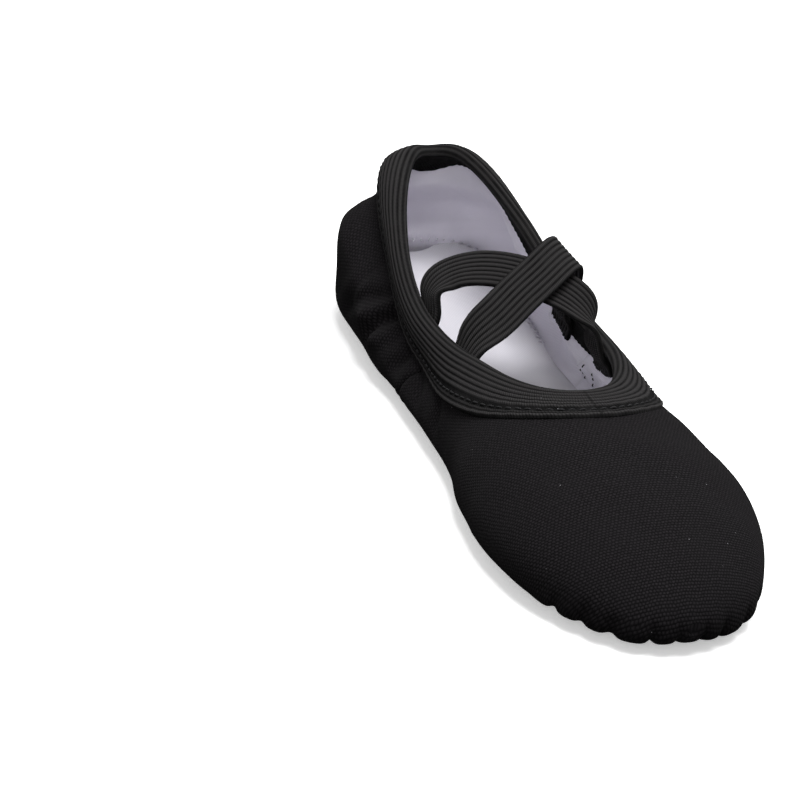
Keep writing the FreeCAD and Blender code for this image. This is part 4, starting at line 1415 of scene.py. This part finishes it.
strap_piece(build_strap("over_strap_elastic", STRAP_FRONT, STRAP_REAR, OVER_RISE, 81),
            "instep_strap_over", "over_strap_swing")
strap_piece(build_strap("under_strap_elastic", STRAP_REAR, STRAP_FRONT, UNDER_RISE, 82),
            "instep_strap_under", "under_strap_swing")
riding(tack_threads("over_strap_threads", [(STRAP_FRONT, -1), (STRAP_REAR, 1)], 91),
       "over_strap_tacks", "black_thread", "forefoot")
riding(tack_threads("under_strap_threads", [(STRAP_REAR, -1), (STRAP_FRONT, 1)], 92),
       "under_strap_tacks", "black_thread", "forefoot")

for area, egg, body in (("forefoot", FORE_EGG, "forefoot"), ("heel", HEEL_EGG, "heel")):
    riding(build_patch(f"{area}_patch_suede", egg, 15), f"{area}_sole_patch", "black_suede", body)
    for row, inset in (("outer", OUTER_ROW), ("inner", INNER_ROW)):
        riding(patch_threads(f"{area}_patch_{row}_threads", egg, inset, 16),
               f"{area}_patch_{row}_stitching", "black_thread", body)
    pad = build_pad(f"{area}_pad_cushion", egg, 17)
    riding(pad, f"{area}_pad", "foam", body)

across_arch(build_insole(), "insole_sock", "insole_cloth")
riding(insole_edge_threads(), "insole_edge_stitching", "white_thread", "heel")
across_arch(arch_seam_threads(), "arch_seam_stitching", "black_thread")
for side, name in ((-1, "right"), (1, "left")):
    across_arch(side_seam_threads(f"{name}_side_seam_threads", side, 95),
                f"{name}_side_seam_stitching", "black_thread")


# ---- floor, light and camera ----

FLOOR_REACH = 40.0


def build_floor():
    """White paper that shows the shoe's shadow but throws no light on the shoe."""
    mesh = bpy.data.meshes.new("floor")
    corners = [(FLOOR_REACH * x, FLOOR_REACH * y, 0) for x, y in ((-1, -1), (1, -1), (1, 1), (-1, 1))]
    mesh.from_pydata(corners, [], [(0, 1, 2, 3)])
    floor = bpy.data.objects.new("floor", mesh)
    bpy.context.collection.objects.link(floor)
    paper = bpy.data.materials.new("pale_paper")
    paper.use_nodes = True
    shader = paper.node_tree.nodes["Principled BSDF"]
    shader.inputs["Base Color"].default_value = (0.92, 0.92, 0.92, 1.0)
    shader.inputs["Roughness"].default_value = 0.9
    shader.inputs["Emission Color"].default_value = (1.0, 1.0, 1.0, 1.0)
    shader.inputs["Emission Strength"].default_value = 0.4
    mesh.materials.append(paper)
    floor.visible_diffuse = False
    floor.visible_glossy = False
    floor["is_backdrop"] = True


def area_light(name, place, aim, size, power):
    data = bpy.data.lights.new(name, "AREA")
    data.shape = "SQUARE"
    data.size = size
    data.energy = power
    light = bpy.data.objects.new(name, data)
    light.location = place
    direction = Vector(aim) - Vector(place)
    light.rotation_euler = direction.to_track_quat("-Z", "Y").to_euler()
    bpy.context.collection.objects.link(light)


CAMERA_AZIMUTH = math.radians(64.23)
CAMERA_ELEVATION = math.radians(25.71)
CAMERA_DISTANCE = 0.9
CAMERA_ROLL = math.radians(7.29)
AIM_LEFT, AIM_BELOW = 0.0387, 0.0029
LENS = 143.4


def build_camera():
    """Camera aimed a little to the left of the shoe's middle, and tilted about its own line of sight."""
    back = Vector((math.sin(CAMERA_AZIMUTH) * math.cos(CAMERA_ELEVATION),
                   -math.cos(CAMERA_AZIMUTH) * math.cos(CAMERA_ELEVATION), math.sin(CAMERA_ELEVATION)))
    right = Vector((math.cos(CAMERA_AZIMUTH), math.sin(CAMERA_AZIMUTH), 0.0))
    up = back.cross(right)
    centre = Vector((0.0, 0.0, 0.020))
    eye = centre + back * CAMERA_DISTANCE
    across = right * math.cos(CAMERA_ROLL) + up * math.sin(CAMERA_ROLL)
    upward = up * math.cos(CAMERA_ROLL) - right * math.sin(CAMERA_ROLL)
    target = centre - across * AIM_LEFT - upward * AIM_BELOW
    data = bpy.data.cameras.new("camera")
    data.lens = LENS
    data.clip_start, data.clip_end = 0.01, 50.0
    camera = bpy.data.objects.new("camera", data)
    turn = (target - eye).to_track_quat("-Z", "Y").to_matrix()
    camera.matrix_world = (turn @ Matrix.Rotation(CAMERA_ROLL, 3, "Z")).to_4x4()
    camera.location = eye
    bpy.context.collection.objects.link(camera)
    bpy.context.scene.camera = camera


def build_world():
    world = bpy.data.worlds.new("white_room")
    world.use_nodes = True
    tree = world.node_tree
    place = tree.nodes.new("ShaderNodeTexCoord")
    split = tree.nodes.new("ShaderNodeSeparateXYZ")
    ramp = tree.nodes.new("ShaderNodeMapRange")
    ramp.inputs["From Min"].default_value = -0.03
    ramp.inputs["From Max"].default_value = 0.0
    ramp.inputs["To Min"].default_value = 0.04
    ramp.inputs["To Max"].default_value = 0.5
    tree.links.new(place.outputs["Generated"], split.inputs[0])
    tree.links.new(split.outputs["Z"], ramp.inputs["Value"])
    tree.links.new(ramp.outputs["Result"], tree.nodes["Background"].inputs["Color"])
    bpy.context.scene.world = world


build_floor()
build_world()
area_light("overhead_softbox", (0.25, 0.0, 1.5), (0.0, 0.0, 0.02), 0.8, 30.0)
area_light("front_softbox", (1.3, -0.9, 0.9), (0.0, 0.0, 0.02), 0.9, 5.0)
area_light("side_softbox", (-0.6, 1.3, 0.9), (0.0, 0.0, 0.02), 0.8, 4.0)
build_camera()
bpy.context.scene.view_settings.view_transform = "Standard"

boxes = {"cad": CAD_BOUNDS, "visual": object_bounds()}
{name: [list(corner) for corner in box] for name, box in boxes.items()}
